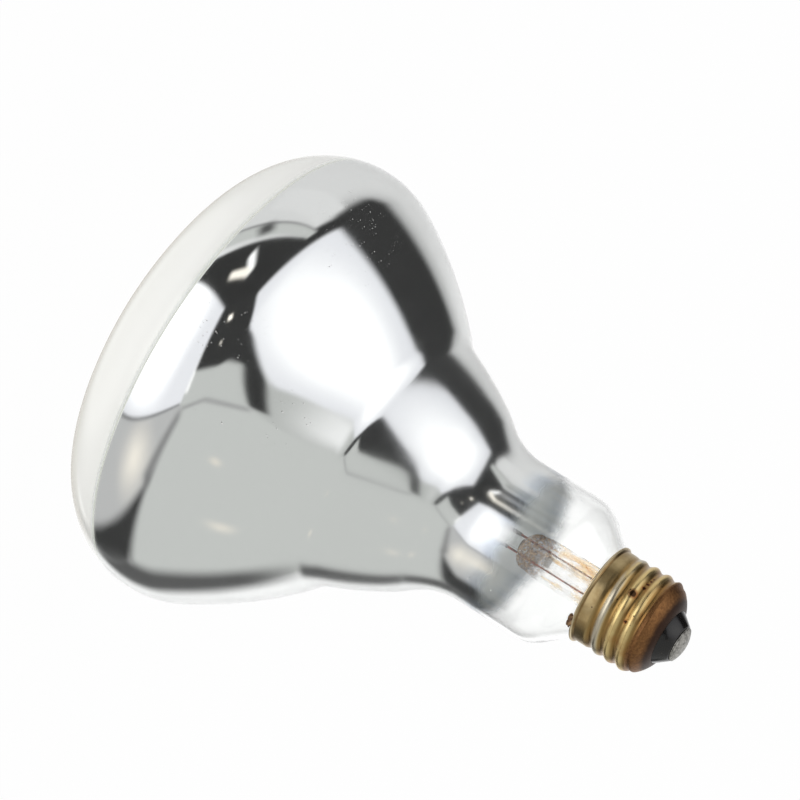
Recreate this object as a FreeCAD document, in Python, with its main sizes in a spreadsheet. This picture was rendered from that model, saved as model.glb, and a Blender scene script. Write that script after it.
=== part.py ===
"""Infrared heat lamp bulb: a blown reflector envelope on a medium screw base.

The part stands on its face: +Z runs up the lamp's axis from the frosted face to the screw base, and the
origin is the tip of the centre contact. +X points at the side solder on the rim of the screw shell.
All sizes are millimetres and degrees. The sheet "sizes" holds the driving sizes, and the sheet "worked"
holds the radii and heights that follow from them.
"""
import FreeCAD, Part

import math
import os

import Sketcher

DRIVING = {
    # Blown envelope, from the face to the seal inside the screw shell.
    "bulb_diameter": 125.0,
    "face_radius": 108.0,
    "rim_radius": 24.9,
    "back_radius": 117.5,
    "cone_length": 40.1,
    "waist_diameter": 75.4,
    "waist_fillet": 15.5,
    "bulge_length": 35.3,
    "bulge_radius": 48.3,
    "throat_fillet": 20.1,
    "neck_diameter": 40.4,
    "neck_length": 17.0,
    "shoulder_radius": 10.2,
    "shoulder_angle": 40.0,
    "seal_fillet": 1.5,
    "seal_length": 6.0,
    "seal_gap": 0.7,
    "glass_wall": 0.9,
    # Mirror film on the inside of the glass.
    "film_thickness": 0.2,
    "film_front_reach": 5.4,
    "film_neck_reach": 8.1,
    # Stem: flare, tube and flattened press, with the exhaust tube and the arbor.
    "stem_diameter": 11.0,
    "stem_wall": 0.9,
    "flare_length": 12.0,
    "stem_length": 12.4,
    "press_taper": 3.0,
    "press_length": 4.0,
    "press_width": 11.4,
    "press_thickness": 5.0,
    "exhaust_diameter": 4.5,
    "exhaust_wall": 0.8,
    "exhaust_overhang": 1.2,
    "exhaust_tip_diameter": 1.2,
    "exhaust_tip_length": 2.2,
    "arbor_diameter": 3.2,
    "arbor_length": 22.0,
    "button_diameter": 6.4,
    # Wires and the filament.
    "lead_spacing": 6.6,
    "seal_wire_diameter": 0.6,
    "seal_wire_stub": 2.0,
    "inner_lead_diameter": 1.0,
    "inner_lead_straight": 8.0,
    "inner_lead_tail": 6.0,
    "outer_lead_diameter": 0.4,
    "lead_headroom": 0.8,
    "lead_overhang": 0.6,
    "filament_radius": 13.0,
    "filament_diameter": 0.9,
    "filament_drop": 32.0,
    "support_wire_diameter": 0.4,
    "support_clearance": 0.05,
    "support_spacing": 45.0,
    "support_grip": 2.0,
    # Screw base.
    "thread_diameter": 26.2,
    "thread_pitch": 3.629,
    "thread_depth": 0.7,
    "thread_length": 12.3,
    "thread_taper": 4.5,
    "crest_land": 0.4,
    "crest_lift": 0.02,
    "groove_clearance": 0.4,
    "hollow_width": 2.3,
    "skirt_diameter": 25.5,
    "skirt_length": 3.5,
    "skirt_seat": 1.6,
    "lip_diameter": 26.8,
    "lip_height": 0.8,
    "rim_gap": 0.6,
    "shell_wall": 0.3,
    "nose_radius": 3.4,
    "nose_angle": 64.7,
    "nose_opening": 15.0,
    "insulator_tip_diameter": 9.8,
    "insulator_height": 3.2,
    "insulator_depth": 3.6,
    "contact_diameter": 9.4,
    "contact_thickness": 0.5,
    "eyelet_diameter": 2.0,
    "eyelet_wall": 0.6,
    "eyelet_length": 3.0,
    "solder_height": 1.1,
    "solder_inset": 0.2,
    "solder_grip": 0.5,
    "side_solder_diameter": 2.2,
    "cement_height": 7.0,
}

WORKED = {
    # Screw base, from the tip downwards.
    "contact_top": "-sizes.solder_height",
    "insulator_top": "contact_top - sizes.contact_thickness",
    "nose_edge": "insulator_top - sizes.insulator_height",
    "insulator_bottom": "nose_edge - sizes.insulator_depth",
    "eyelet_foot": "insulator_top - sizes.eyelet_length",
    "thread_r": "sizes.thread_diameter / 2",
    "root_r": "thread_r - sizes.thread_depth",
    "bore_r": "root_r - sizes.shell_wall",
    "nose_open_r": "sizes.nose_opening / 2",
    "nose_centre_r": "thread_r - sizes.nose_radius",
    "nose_turn_r": "nose_centre_r + sizes.nose_radius * cos(sizes.nose_angle)",
    "nose_turn": "nose_edge - (nose_turn_r - nose_open_r) / tan(sizes.nose_angle)",
    "nose_start": "nose_turn - sizes.nose_radius * sin(sizes.nose_angle)",
    "nose_in_radius": "sizes.nose_radius - sizes.shell_wall",
    "nose_in_r": "nose_centre_r + nose_in_radius * cos(sizes.nose_angle)",
    "nose_in": "nose_start + nose_in_radius * sin(sizes.nose_angle)",
    "nose_edge_in": "nose_in + (nose_in_r - nose_open_r) / tan(sizes.nose_angle)",
    "bore_top": "nose_start + sqrt(nose_in_radius ^ 2 - (bore_r - nose_centre_r) ^ 2)",
    "thread_start": "nose_start - sizes.thread_length",
    "thread_full": "thread_start + sizes.thread_taper",
    "rim": "thread_start - sizes.skirt_length",
    "lip_top": "rim + sizes.lip_height",
    "seat_level": "rim + sizes.skirt_seat",
    "skirt_r": "sizes.skirt_diameter / 2",
    "skirt_bore_r": "skirt_r - sizes.shell_wall",
    "lip_r": "sizes.lip_diameter / 2",
    "lip_bore_r": "lip_r - sizes.shell_wall",
    "seat_foot": "seat_level - (skirt_bore_r - bore_r)",
    # Thread: one groove section outside and the hollow under each crest inside, both on the -X side.
    "groove_half": "(sizes.thread_pitch - sizes.crest_land) / 2",
    "groove_deep": "sizes.thread_depth + sizes.crest_lift",
    "flank_angle": "2 * atan(groove_deep / groove_half)",
    "knuckle_radius": "groove_half / 2 / sin(flank_angle)",
    "groove_top_x": "-(thread_r + sizes.crest_lift)",
    "groove_out_x": "-(thread_r + sizes.groove_clearance)",
    "groove_mid_x": "-(root_r + groove_deep / 2)",
    "groove_low": "thread_start - groove_half",
    "groove_high": "thread_start + groove_half",
    "groove_low_mid": "thread_start - groove_half / 2",
    "groove_high_mid": "thread_start + groove_half / 2",
    "groove_height": "sizes.thread_length + sizes.thread_pitch",
    "hollow_level": "thread_start + sizes.thread_pitch / 2",
    "hollow_low": "hollow_level - sizes.hollow_width / 2",
    "hollow_high": "hollow_level + sizes.hollow_width / 2",
    "hollow_foot_x": "-bore_r",
    "hollow_air_x": "-(bore_r - sizes.groove_clearance)",
    "hollow_radius": "((sizes.hollow_width / 2) ^ 2 + sizes.thread_depth ^ 2) / (2 * sizes.thread_depth)",
    "hollow_height": "sizes.thread_length - sizes.thread_pitch",
    # Centre contact.
    "tip": "0",
    "contact_r": "sizes.contact_diameter / 2",
    "eyelet_r": "sizes.eyelet_diameter / 2",
    "eyelet_bore_r": "eyelet_r - sizes.eyelet_wall",
    "insulator_tip_r": "sizes.insulator_tip_diameter / 2",
    "solder_r": "contact_r - sizes.solder_inset",
    "solder_dome": "(solder_r ^ 2 + sizes.solder_height ^ 2) / (2 * sizes.solder_height)",
    # Envelope, from the seal down to the face.
    "seal_r": "bore_r - sizes.seal_gap",
    "rim_glass_r": "lip_bore_r - sizes.rim_gap",
    "seal_foot_r": "seal_r + sizes.seal_fillet * (1 - cos(sizes.shoulder_angle))",
    "seal_foot": "rim + (rim_glass_r - seal_foot_r) / tan(sizes.shoulder_angle)",
    "seal_start": "seal_foot + sizes.seal_fillet * sin(sizes.shoulder_angle)",
    "seal_end": "seal_start + sizes.seal_length",
    "seal_centre_r": "seal_r + sizes.seal_fillet",
    "slope_bearing": "90 + sizes.shoulder_angle",
    "neck_r": "sizes.neck_diameter / 2",
    "throat_centre_r": "neck_r + sizes.throat_fillet",
    "shoulder_centre_r": "neck_r - sizes.shoulder_radius",
    "shoulder_end_r": "neck_r - sizes.shoulder_radius * (1 - cos(sizes.shoulder_angle))",
    "shoulder_end": "rim - (shoulder_end_r - rim_glass_r) / tan(sizes.shoulder_angle)",
    "neck_top": "shoulder_end - sizes.shoulder_radius * sin(sizes.shoulder_angle)",
    "throat": "neck_top - sizes.neck_length",
    "waist": "throat - sizes.bulge_length",
    "waist_r": "sizes.waist_diameter / 2",
    "widest": "waist - sizes.cone_length",
    "rim_centre_r": "sizes.bulb_diameter / 2 - sizes.rim_radius",
    "face_centre": "widest + sqrt((sizes.face_radius - sizes.rim_radius) ^ 2 - rim_centre_r ^ 2)",
    "film_front": "widest - sizes.film_front_reach",
    "film_neck": "throat + sizes.film_neck_reach",
    "film_inset": "sizes.glass_wall + sizes.film_thickness",
    "cement_top": "rim + sizes.cement_height",
    # Stem.
    "flare_lip": "seal_end + sizes.stem_wall",
    "flare_throat_r": "seal_r - sizes.glass_wall",
    "flare_foot": "seal_end - sizes.flare_length",
    "stem_r": "sizes.stem_diameter / 2",
    "stem_bore_r": "stem_r - sizes.stem_wall",
    "flare_spread": "flare_throat_r - stem_r",
    "flare_radius": "(flare_spread ^ 2 + sizes.flare_length ^ 2) / (2 * flare_spread)",
    "flare_bore_rise": "flare_lip - flare_foot",
    "flare_bore_spread": "seal_r - stem_bore_r",
    "flare_bore_radius": "(flare_bore_spread ^ 2 + flare_bore_rise ^ 2) / (2 * flare_bore_spread)",
    "press_base": "flare_foot - sizes.stem_length",
    "press_shoulder": "press_base - sizes.press_taper",
    "press_end": "press_shoulder - sizes.press_length",
    "exhaust_r": "sizes.exhaust_diameter / 2",
    "exhaust_bore_r": "exhaust_r - sizes.exhaust_wall",
    "exhaust_tip_r": "sizes.exhaust_tip_diameter / 2",
    "exhaust_end": "flare_lip + sizes.exhaust_overhang",
    "exhaust_cap": "exhaust_end - sizes.exhaust_wall",
    "exhaust_shoulder": "exhaust_end - sizes.exhaust_tip_length",
    "button_level": "press_end - sizes.arbor_length",
    # Wires.
    "lead_r": "sizes.lead_spacing / 2",
    "weld_level": "press_end - sizes.seal_wire_stub",
    "filament_level": "press_end - sizes.filament_drop",
    "lead_knee": "weld_level - sizes.inner_lead_straight",
    "lead_elbow": "filament_level + sizes.inner_lead_tail",
    "lead_foot": "filament_level - sizes.inner_lead_diameter",
    "lead_crest": "flare_lip + sizes.lead_headroom",
    "lead_axis": "insulator_bottom - sizes.lead_headroom",
    "lead_end": "contact_top + sizes.solder_grip",
    "gap_mid_r": "(seal_r + bore_r) / 2",
    "rim_mid_r": "(rim_glass_r + lip_bore_r) / 2",
    "gap_turn": "rim + (rim_mid_r - gap_mid_r) / tan(sizes.shoulder_angle)",
    "solder_level": "rim - sizes.lead_overhang",
    "lead_tip_r": "rim_mid_r + sizes.lead_overhang * tan(sizes.shoulder_angle)",
    "lead_back_x": "-lead_r",
    "filament_back_x": "-sizes.filament_radius",
    "eye_r": "(sizes.filament_diameter + sizes.support_wire_diameter) / 2 + sizes.support_clearance",
    "support_start": "sizes.button_diameter / 2 - sizes.support_grip",
    "support_reach": "sqrt(sizes.filament_radius ^ 2 + (button_level - filament_level) ^ 2)",
    "support_length": "support_reach - support_start - eye_r",
    "filament_trim": "asin(sizes.inner_lead_diameter / 2 / sizes.filament_radius)",
}

doc = FreeCAD.newDocument("heat_lamp_bulb")


def fill_sheet(name, cells, lead=""):
    """Puts one named value on each row: the name, the value under that alias."""
    sheet = doc.addObject("Spreadsheet::Sheet", name)
    for row, (alias, value) in enumerate(cells.items(), start=1):
        sheet.set(f"A{row}", alias)
        sheet.set(f"B{row}", f"{lead}{value}")
        sheet.setAlias(f"B{row}", alias)
    return sheet


sizes = fill_sheet("sizes", DRIVING)
worked = fill_sheet("worked", WORKED, "=")
doc.recompute()


def number(name):
    """Value of a named cell in either sheet."""
    return float(getattr(sizes if name in DRIVING else worked, name))


def cell(name):
    """Expression that reads a named cell."""
    return f"sizes.{name}" if name in DRIVING else f"worked.{name}"


def new_body(label):
    body = doc.addObject("PartDesign::Body", label)
    body.Label = label
    return body


START, END, CENTRE = 1, 2, 3
ORIGIN, AXIS = (-1, 1), -2


class Drawing:
    """A sketch on one of a body's origin planes, lifted to a named height if one is given.

    Lines and arcs go in at once. Rules and named dimensions are collected, and finish adds them together.
    """

    def __init__(self, body, name, role, level=None):
        self.sketch = body.newObject("Sketcher::SketchObject", name)
        plane = next(f for f in body.Origin.OriginFeatures if f.Role == role)
        self.sketch.AttachmentSupport = (plane, "")
        self.sketch.MapMode = "FlatFace"
        if level:
            self.sketch.setExpression("AttachmentOffset.Base.z", cell(level))
        self.rules = []
        self.bound = []

    def add(self, shape, construction=False):
        return self.sketch.addGeometry(shape, construction)

    def rule(self, kind, *where):
        self.rules.append(Sketcher.Constraint(kind, *where))

    def limit(self, name, kind, *where):
        """Dimension with the size of a named cell."""
        self.bound.append((len(self.rules), cell(name)))
        self.rules.append(Sketcher.Constraint(kind, *where, number(name)))

    def lean(self, name, line):
        """Direction of a line, from a named angle."""
        self.bound.append((len(self.rules), f"{cell(name)} * 1 deg"))
        self.rules.append(Sketcher.Constraint("Angle", line, math.radians(number(name))))

    def pin(self, item, point, across, up):
        """Holds a point at a named radius and a named height. A radius of None is the axis."""
        if across is None:
            self.rule("PointOnObject", item, point, AXIS)
        else:
            self.limit(across, "DistanceX", *ORIGIN, item, point)
        self.limit(up, "DistanceY", *ORIGIN, item, point)

    def join(self, first, second, kind="Coincident"):
        """Joins two ends, each a line or arc and a point on it."""
        self.rule(kind, *first, *second)

    def link(self, first, second):
        """Straight run that closes an outline between two drawn ends."""
        run = self.add(Part.LineSegment(self.sketch.getPoint(*first), self.sketch.getPoint(*second)))
        self.join(first, (run, START))
        self.join((run, END), second)

    def path(self, corners, closed=False):
        """Straight runs through corners, each a pair of named radius and height. Returns the runs."""
        ends = corners[1:] + corners[:1] if closed else corners[1:]
        runs = []
        for corner, end in zip(corners, ends):
            runs.append(self.add(Part.LineSegment(place(*corner), place(*end))))
            self.pin(runs[-1], START, *corner)
        for before, after in zip(runs, runs[1:]):
            self.join((before, END), (after, START))
        if closed:
            self.join((runs[-1], END), (runs[0], START))
        else:
            self.pin(runs[-1], END, *corners[-1])
        return runs

    def arc(self, first, last, radius, turn):
        """Arc of a named radius between two drawn ends. turn is +1 to the left, -1 to the right."""
        a = self.sketch.getPoint(*first)
        b = self.sketch.getPoint(*last)
        chord = b - a
        r = number(radius)
        left = FreeCAD.Vector(-chord.y, chord.x, 0).normalize()
        centre = (a + b) * 0.5 + left * (turn * math.sqrt(r * r - chord.Length**2 / 4))
        start, stop = (a, b) if turn > 0 else (b, a)
        from_angle = bearing(centre, start)
        to_angle = bearing(centre, stop)
        to_angle += 2 * math.pi if to_angle < from_angle else 0.0
        circle = Part.Circle(centre, FreeCAD.Vector(0, 0, 1), r)
        item = self.add(Part.ArcOfCircle(circle, from_angle, to_angle))
        self.join(first, (item, START if turn > 0 else END))
        self.join((item, END if turn > 0 else START), last)
        self.limit(radius, "Radius", item)
        return item

    def disc(self, across, diameter):
        """Circle of a named diameter, its centre on the X axis at a named distance, or on the origin."""
        centre = FreeCAD.Vector(number(across) if across else 0.0, 0, 0)
        item = self.add(Part.Circle(centre, FreeCAD.Vector(0, 0, 1), number(diameter) / 2))
        self.limit(diameter, "Diameter", item)
        if across:
            self.limit(across, "DistanceX", *ORIGIN, item, CENTRE)
            self.rule("PointOnObject", item, CENTRE, -1)
        else:
            self.join((item, CENTRE), ORIGIN)

    def finish(self):
        self.sketch.addConstraint(self.rules)
        for index, expression in self.bound:
            self.sketch.setExpression(f"Constraints[{index}]", expression)
        return self.sketch


def place(across, up):
    return FreeCAD.Vector(0.0 if across is None else number(across), number(up), 0.0)


def bearing(a, b):
    return math.atan2(b.y - a.y, b.x - a.x)


def revolve(body, drawing, name):
    """Turns a finished drawing once around the lamp's axis."""
    turned = body.newObject("PartDesign::Revolution", name)
    turned.Profile = drawing.finish()
    turned.ReferenceAxis = (drawing.sketch, ["V_Axis"])
    turned.Angle = 360.0


def turned_part(label, corners):
    """Solid of revolution with a straight-sided outline."""
    body = new_body(label)
    drawing = Drawing(body, f"{label}_outline", "XZ_Plane")
    drawing.path(corners, closed=True)
    revolve(body, drawing, f"{label}_turned")
    return body


def circles_meet(a, a_radius, b, b_radius):
    """Meeting point of two circles that lies nearer the axis."""
    span = b - a
    along = (span.Length**2 + a_radius**2 - b_radius**2) / (2 * span.Length)
    across = math.sqrt(a_radius**2 - along**2)
    unit = FreeCAD.Vector(span).normalize()
    foot = a + unit * along
    side = FreeCAD.Vector(-unit.y, unit.x, 0) * across
    return min(foot + side, foot - side, key=lambda point: point.x)


def envelope_runs():
    """The envelope's outside from face to seal.

    An arc is its centre, the name of its radius, +1 where the glass is convex or -1 where it is hollow,
    and the first and last angle of the outward normal. A straight run is its two ends and its normal's
    angle. Each run shares its normal with the next, so the outline is smooth.
    """
    face_centre = place(None, "face_centre")
    rim_centre = place("rim_centre_r", "widest")
    waist = place("waist_r", "waist")
    back = number("back_radius")
    back_centre = circles_meet(rim_centre, back - number("rim_radius"), waist, back)
    at_waist = bearing(back_centre, waist)
    outward = FreeCAD.Vector(math.cos(at_waist), math.sin(at_waist), 0)
    waist_centre = waist + outward * number("waist_fillet")
    throat_centre = place("throat_centre_r", "throat")
    waist_reach = number("bulge_radius") + number("waist_fillet")
    throat_reach = number("bulge_radius") + number("throat_fillet")
    bulge_centre = circles_meet(waist_centre, waist_reach, throat_centre, throat_reach)
    at_face = -math.pi / 2
    at_rim = bearing(face_centre, rim_centre)
    at_back = bearing(back_centre, rim_centre)
    at_bulge = bearing(bulge_centre, waist_centre)
    at_throat = bearing(bulge_centre, throat_centre)
    slope = math.radians(number("shoulder_angle"))
    shoulder_centre = place("shoulder_centre_r", "neck_top")
    seal_centre = place("seal_centre_r", "seal_start")
    shoulder_foot = place("shoulder_end_r", "shoulder_end")
    return {
        "face": (face_centre, "face_radius", 1, at_face, at_rim),
        "rim": (rim_centre, "rim_radius", 1, at_rim, at_back),
        "back": (back_centre, "back_radius", 1, at_back, at_waist),
        "waist": (waist_centre, "waist_fillet", -1, at_waist, at_bulge),
        "bulge": (bulge_centre, "bulge_radius", 1, at_bulge, at_throat),
        "throat": (throat_centre, "throat_fillet", -1, at_throat, 0.0),
        "neck": (place("neck_r", "throat"), place("neck_r", "neck_top"), 0.0),
        "shoulder": (shoulder_centre, "shoulder_radius", 1, 0.0, slope),
        "slope": (shoulder_foot, place("seal_foot_r", "seal_foot"), slope),
        "seal_round": (seal_centre, "seal_fillet", -1, slope, 0.0),
        "seal": (place("seal_r", "seal_start"), place("seal_r", "seal_end"), 0.0),
    }


STRAIGHT_RUNS = ("neck", "slope", "seal")


def draw_runs(drawing, runs, names, inset=0.0, construction=False):
    """Draws named runs of the envelope, set inwards by a distance, each smooth with the one before.

    Returns the first and last end of each run.
    """
    ends = {}
    before = None
    for name in names:
        if name in STRAIGHT_RUNS:
            first, last, normal = runs[name]
            shift = FreeCAD.Vector(math.cos(normal), math.sin(normal), 0) * -inset
            item = drawing.add(Part.LineSegment(first + shift, last + shift), construction)
            ends[name] = (item, START), (item, END)
        else:
            centre, radius, sign, first, last = runs[name]
            circle = Part.Circle(centre, FreeCAD.Vector(0, 0, 1), number(radius) - sign * inset)
            spread = (first, last) if sign > 0 else (last + math.pi, first + math.pi)
            item = drawing.add(Part.ArcOfCircle(circle, *spread), construction)
            both = (item, START), (item, END)
            ends[name] = both if sign > 0 else both[::-1]
        if before:
            drawing.join(ends[before][1], ends[name][0], "Tangent")
        before = name
    return ends


def fix_outside(drawing, runs, ends):
    """Dimensions of the glass from the rim of the face to the neck, and the radius of every arc."""
    for name in ends:
        if name not in STRAIGHT_RUNS:
            drawing.limit(runs[name][1], "Radius", ends[name][0][0])
    drawing.pin(ends["rim"][0][0], CENTRE, "rim_centre_r", "widest")
    drawing.pin(*ends["back"][1], "waist_r", "waist")
    drawing.limit("throat", "DistanceY", *ORIGIN, ends["throat"][0][0], CENTRE)
    drawing.rule("Vertical", ends["neck"][0][0])
    drawing.limit("neck_r", "DistanceX", *ORIGIN, *ends["neck"][0])


def follow(drawing, outside, inside, inset):
    """Keeps inner runs at a named distance inside the outer ones: arcs share their centres."""
    for name in inside:
        inner = inside[name][0][0]
        outer = outside[name][0][0]
        if name == "neck":
            drawing.rule("Vertical", inner)
        elif name in STRAIGHT_RUNS:
            drawing.rule("Parallel", inner, outer)
        else:
            drawing.join((inner, CENTRE), (outer, CENTRE))
    drawing.limit(inset, "DistanceX", *inside["neck"][0], *outside["neck"][0])


def make_envelope():
    """Blown glass: frosted face, mirrored back and bulge, clear neck, and the seal hidden in the shell."""
    body = new_body("envelope")
    drawing = Drawing(body, "envelope_outline", "XZ_Plane")
    runs = envelope_runs()
    outside = draw_runs(drawing, runs, list(runs))
    fix_outside(drawing, runs, outside)
    drawing.rule("PointOnObject", outside["face"][0][0], CENTRE, AXIS)
    drawing.rule("PointOnObject", *outside["face"][0], AXIS)
    drawing.limit("neck_top", "DistanceY", *ORIGIN, outside["shoulder"][0][0], CENTRE)
    drawing.lean("slope_bearing", outside["slope"][0][0])
    drawing.rule("Vertical", outside["seal"][0][0])
    drawing.pin(*outside["seal"][1], "seal_r", "seal_end")
    inside = draw_runs(drawing, runs, list(runs), number("glass_wall"))
    follow(drawing, outside, inside, "glass_wall")
    drawing.rule("PointOnObject", *inside["face"][0], AXIS)
    drawing.limit("seal_end", "DistanceY", *ORIGIN, *inside["seal"][1])
    drawing.link(outside["seal"][1], inside["seal"][1])
    drawing.link(inside["face"][0], outside["face"][0])
    revolve(body, drawing, "envelope_turned")
    return body


def make_reflector_coating():
    """Mirror film on the inside of the glass, from just ahead of the widest part to the neck."""
    body = new_body("reflector_coating")
    drawing = Drawing(body, "coating_outline", "XZ_Plane")
    runs = envelope_runs()
    names = ["rim", "back", "waist", "bulge", "throat", "neck"]
    glass = draw_runs(drawing, runs, names, construction=True)
    fix_outside(drawing, runs, glass)
    faces = [draw_runs(drawing, runs, names, number(inset)) for inset in ("glass_wall", "film_inset")]
    follow(drawing, glass, faces[0], "glass_wall")
    follow(drawing, glass, faces[1], "film_inset")
    for ends in (glass, *faces):
        drawing.limit("film_front", "DistanceY", *ORIGIN, *ends["rim"][0])
        drawing.limit("film_neck", "DistanceY", *ORIGIN, *ends["neck"][1])
    drawing.link(faces[0]["neck"][1], faces[1]["neck"][1])
    drawing.link(faces[1]["rim"][0], faces[0]["rim"][0])
    revolve(body, drawing, "coating_turned")
    return body


def helix_cut(body, drawing, name, height):
    """Right-hand helical cut, one turn per pitch, along a named height."""
    cut = body.newObject("PartDesign::SubtractiveHelix", name)
    cut.Profile = drawing.finish()
    cut.ReferenceAxis = (drawing.sketch, ["V_Axis"])
    cut.Mode = "pitch-height-angle"
    cut.setExpression("Pitch", cell("thread_pitch"))
    cut.setExpression("Height", cell(height))
    cut.LeftHanded = False


def make_base_shell():
    """Thin drawn screw shell: flared lip, plain skirt, rolled knuckle thread and rounded nose."""
    body = new_body("base_shell")
    drawing = Drawing(body, "shell_outline", "XZ_Plane")
    outside = drawing.path([
        ("lip_bore_r", "rim"), ("lip_r", "rim"), ("skirt_r", "lip_top"), ("skirt_r", "thread_start"),
        ("thread_r", "thread_full"), ("thread_r", "nose_start"),
    ])
    nose = drawing.path([
        ("nose_turn_r", "nose_turn"), ("nose_open_r", "nose_edge"), ("nose_open_r", "nose_edge_in"),
        ("nose_in_r", "nose_in"),
    ])
    inside = drawing.path([
        ("bore_r", "bore_top"), ("bore_r", "seat_level"), ("skirt_bore_r", "seat_foot"),
        ("skirt_bore_r", "lip_top"), ("lip_bore_r", "rim"),
    ])
    drawing.arc((outside[-1], END), (nose[0], START), "nose_radius", 1)
    drawing.arc((nose[-1], END), (inside[0], START), "nose_in_radius", -1)
    revolve(body, drawing, "shell_turned")

    groove = Drawing(body, "thread_groove", "XZ_Plane")
    sides = groove.path([
        ("groove_top_x", "groove_high"), ("groove_out_x", "groove_high"), ("groove_out_x", "groove_low"),
        ("groove_top_x", "groove_low"),
    ])
    knees = []
    for level in ("groove_low_mid", "groove_high_mid"):
        knees.append(groove.add(Part.Point(place("groove_mid_x", level))))
        groove.pin(knees[-1], START, "groove_mid_x", level)
    groove.arc((sides[-1], END), (knees[0], START), "knuckle_radius", -1)
    groove.arc((knees[0], START), (knees[1], START), "knuckle_radius", 1)
    groove.arc((knees[1], START), (sides[0], START), "knuckle_radius", -1)
    helix_cut(body, groove, "thread_outside", "groove_height")

    hollow = Drawing(body, "thread_hollow", "XZ_Plane")
    sides = hollow.path([
        ("hollow_foot_x", "hollow_high"), ("hollow_air_x", "hollow_high"), ("hollow_air_x", "hollow_low"),
        ("hollow_foot_x", "hollow_low"),
    ])
    hollow.arc((sides[-1], END), (sides[0], START), "hollow_radius", -1)
    helix_cut(body, hollow, "thread_inside", "hollow_height")
    return body


def make_base_insulator():
    """Black glass cone moulded into the nose of the shell."""
    return turned_part("base_insulator", [
        ("eyelet_r", "insulator_top"), ("insulator_tip_r", "insulator_top"), ("nose_open_r", "nose_edge"),
        ("nose_open_r", "nose_edge_in"), ("nose_in_r", "nose_in"), ("nose_in_r", "insulator_bottom"),
        ("eyelet_r", "insulator_bottom"),
    ])


def make_centre_contact():
    """Flanged eyelet in the insulator's hole."""
    return turned_part("centre_contact", [
        ("eyelet_bore_r", "contact_top"), ("contact_r", "contact_top"), ("contact_r", "insulator_top"),
        ("eyelet_r", "insulator_top"), ("eyelet_r", "eyelet_foot"), ("eyelet_bore_r", "eyelet_foot"),
    ])


def make_exhaust_tube():
    """Tube that the lamp was pumped through, tipped off inside the base."""
    return turned_part("exhaust_tube", [
        ("exhaust_r", "press_base"), ("exhaust_r", "exhaust_shoulder"), ("exhaust_tip_r", "exhaust_end"),
        (None, "exhaust_end"), (None, "exhaust_cap"), ("exhaust_bore_r", "exhaust_shoulder"),
        ("exhaust_bore_r", "press_base"),
    ])


def make_cement_blank():
    """Ring of basing cement between the glass seal and the shell."""
    body = new_body("cement_blank")
    drawing = Drawing(body, "cement_outline", "XZ_Plane")
    shell_side = drawing.path([
        ("seal_r", "seal_start"), ("seal_r", "cement_top"), ("bore_r", "cement_top"),
        ("bore_r", "seat_level"), ("skirt_bore_r", "seat_foot"), ("skirt_bore_r", "lip_top"),
        ("lip_bore_r", "rim"), ("rim_glass_r", "rim"), ("seal_foot_r", "seal_foot"),
    ])
    drawing.arc((shell_side[-1], END), (shell_side[0], START), "seal_fillet", -1)
    revolve(body, drawing, "cement_turned")
    return body


def make_solder_blank():
    """Low dome of solder on the centre contact."""
    body = new_body("solder_blank")
    drawing = Drawing(body, "solder_outline", "XZ_Plane")
    foot = drawing.path([(None, "tip"), (None, "contact_top"), ("solder_r", "contact_top")])
    drawing.arc((foot[-1], END), (foot[0], START), "solder_dome", 1)
    revolve(body, drawing, "solder_turned")
    return body


def make_wire(label, diameter, corners):
    """Round wire along straight runs in the XZ plane, with rounded corners. It starts along Z."""
    body = new_body(label)
    start, level = corners[0]
    section = Drawing(body, f"{label}_section", "XY_Plane", level)
    section.disc(start, diameter)
    route = Drawing(body, f"{label}_route", "XZ_Plane")
    runs = route.path(corners)
    wire = body.newObject("PartDesign::AdditivePipe", f"{label}_wire")
    wire.Profile = section.finish()
    wire.Spine = (route.finish(), [f"Edge{i + 1}" for i in range(len(runs))])
    wire.Transition = "Round corner"
    return body


def primitive(kind, label, height=None, across=None, **bound):
    """Simple solid bound to expressions, set at a named height and a named distance along X."""
    shape = doc.addObject(kind, label)
    shape.Label = label
    for name, expression in bound.items():
        shape.setExpression(name, expression)
    if height:
        shape.setExpression("Placement.Base.z", cell(height))
    if across:
        shape.setExpression("Placement.Base.x", cell(across))
    return shape


def boolean(kind, label, **links):
    shape = doc.addObject(kind, label)
    shape.Label = label
    for name, value in links.items():
        setattr(shape, name, value)
    return shape


def make_seal_wire(label, across):
    """Copper-clad wire sealed through the press."""
    return primitive(
        "Part::Cylinder", label, "weld_level", across,
        Radius="sizes.seal_wire_diameter / 2", Height="worked.press_base - worked.weld_level",
    )


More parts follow.
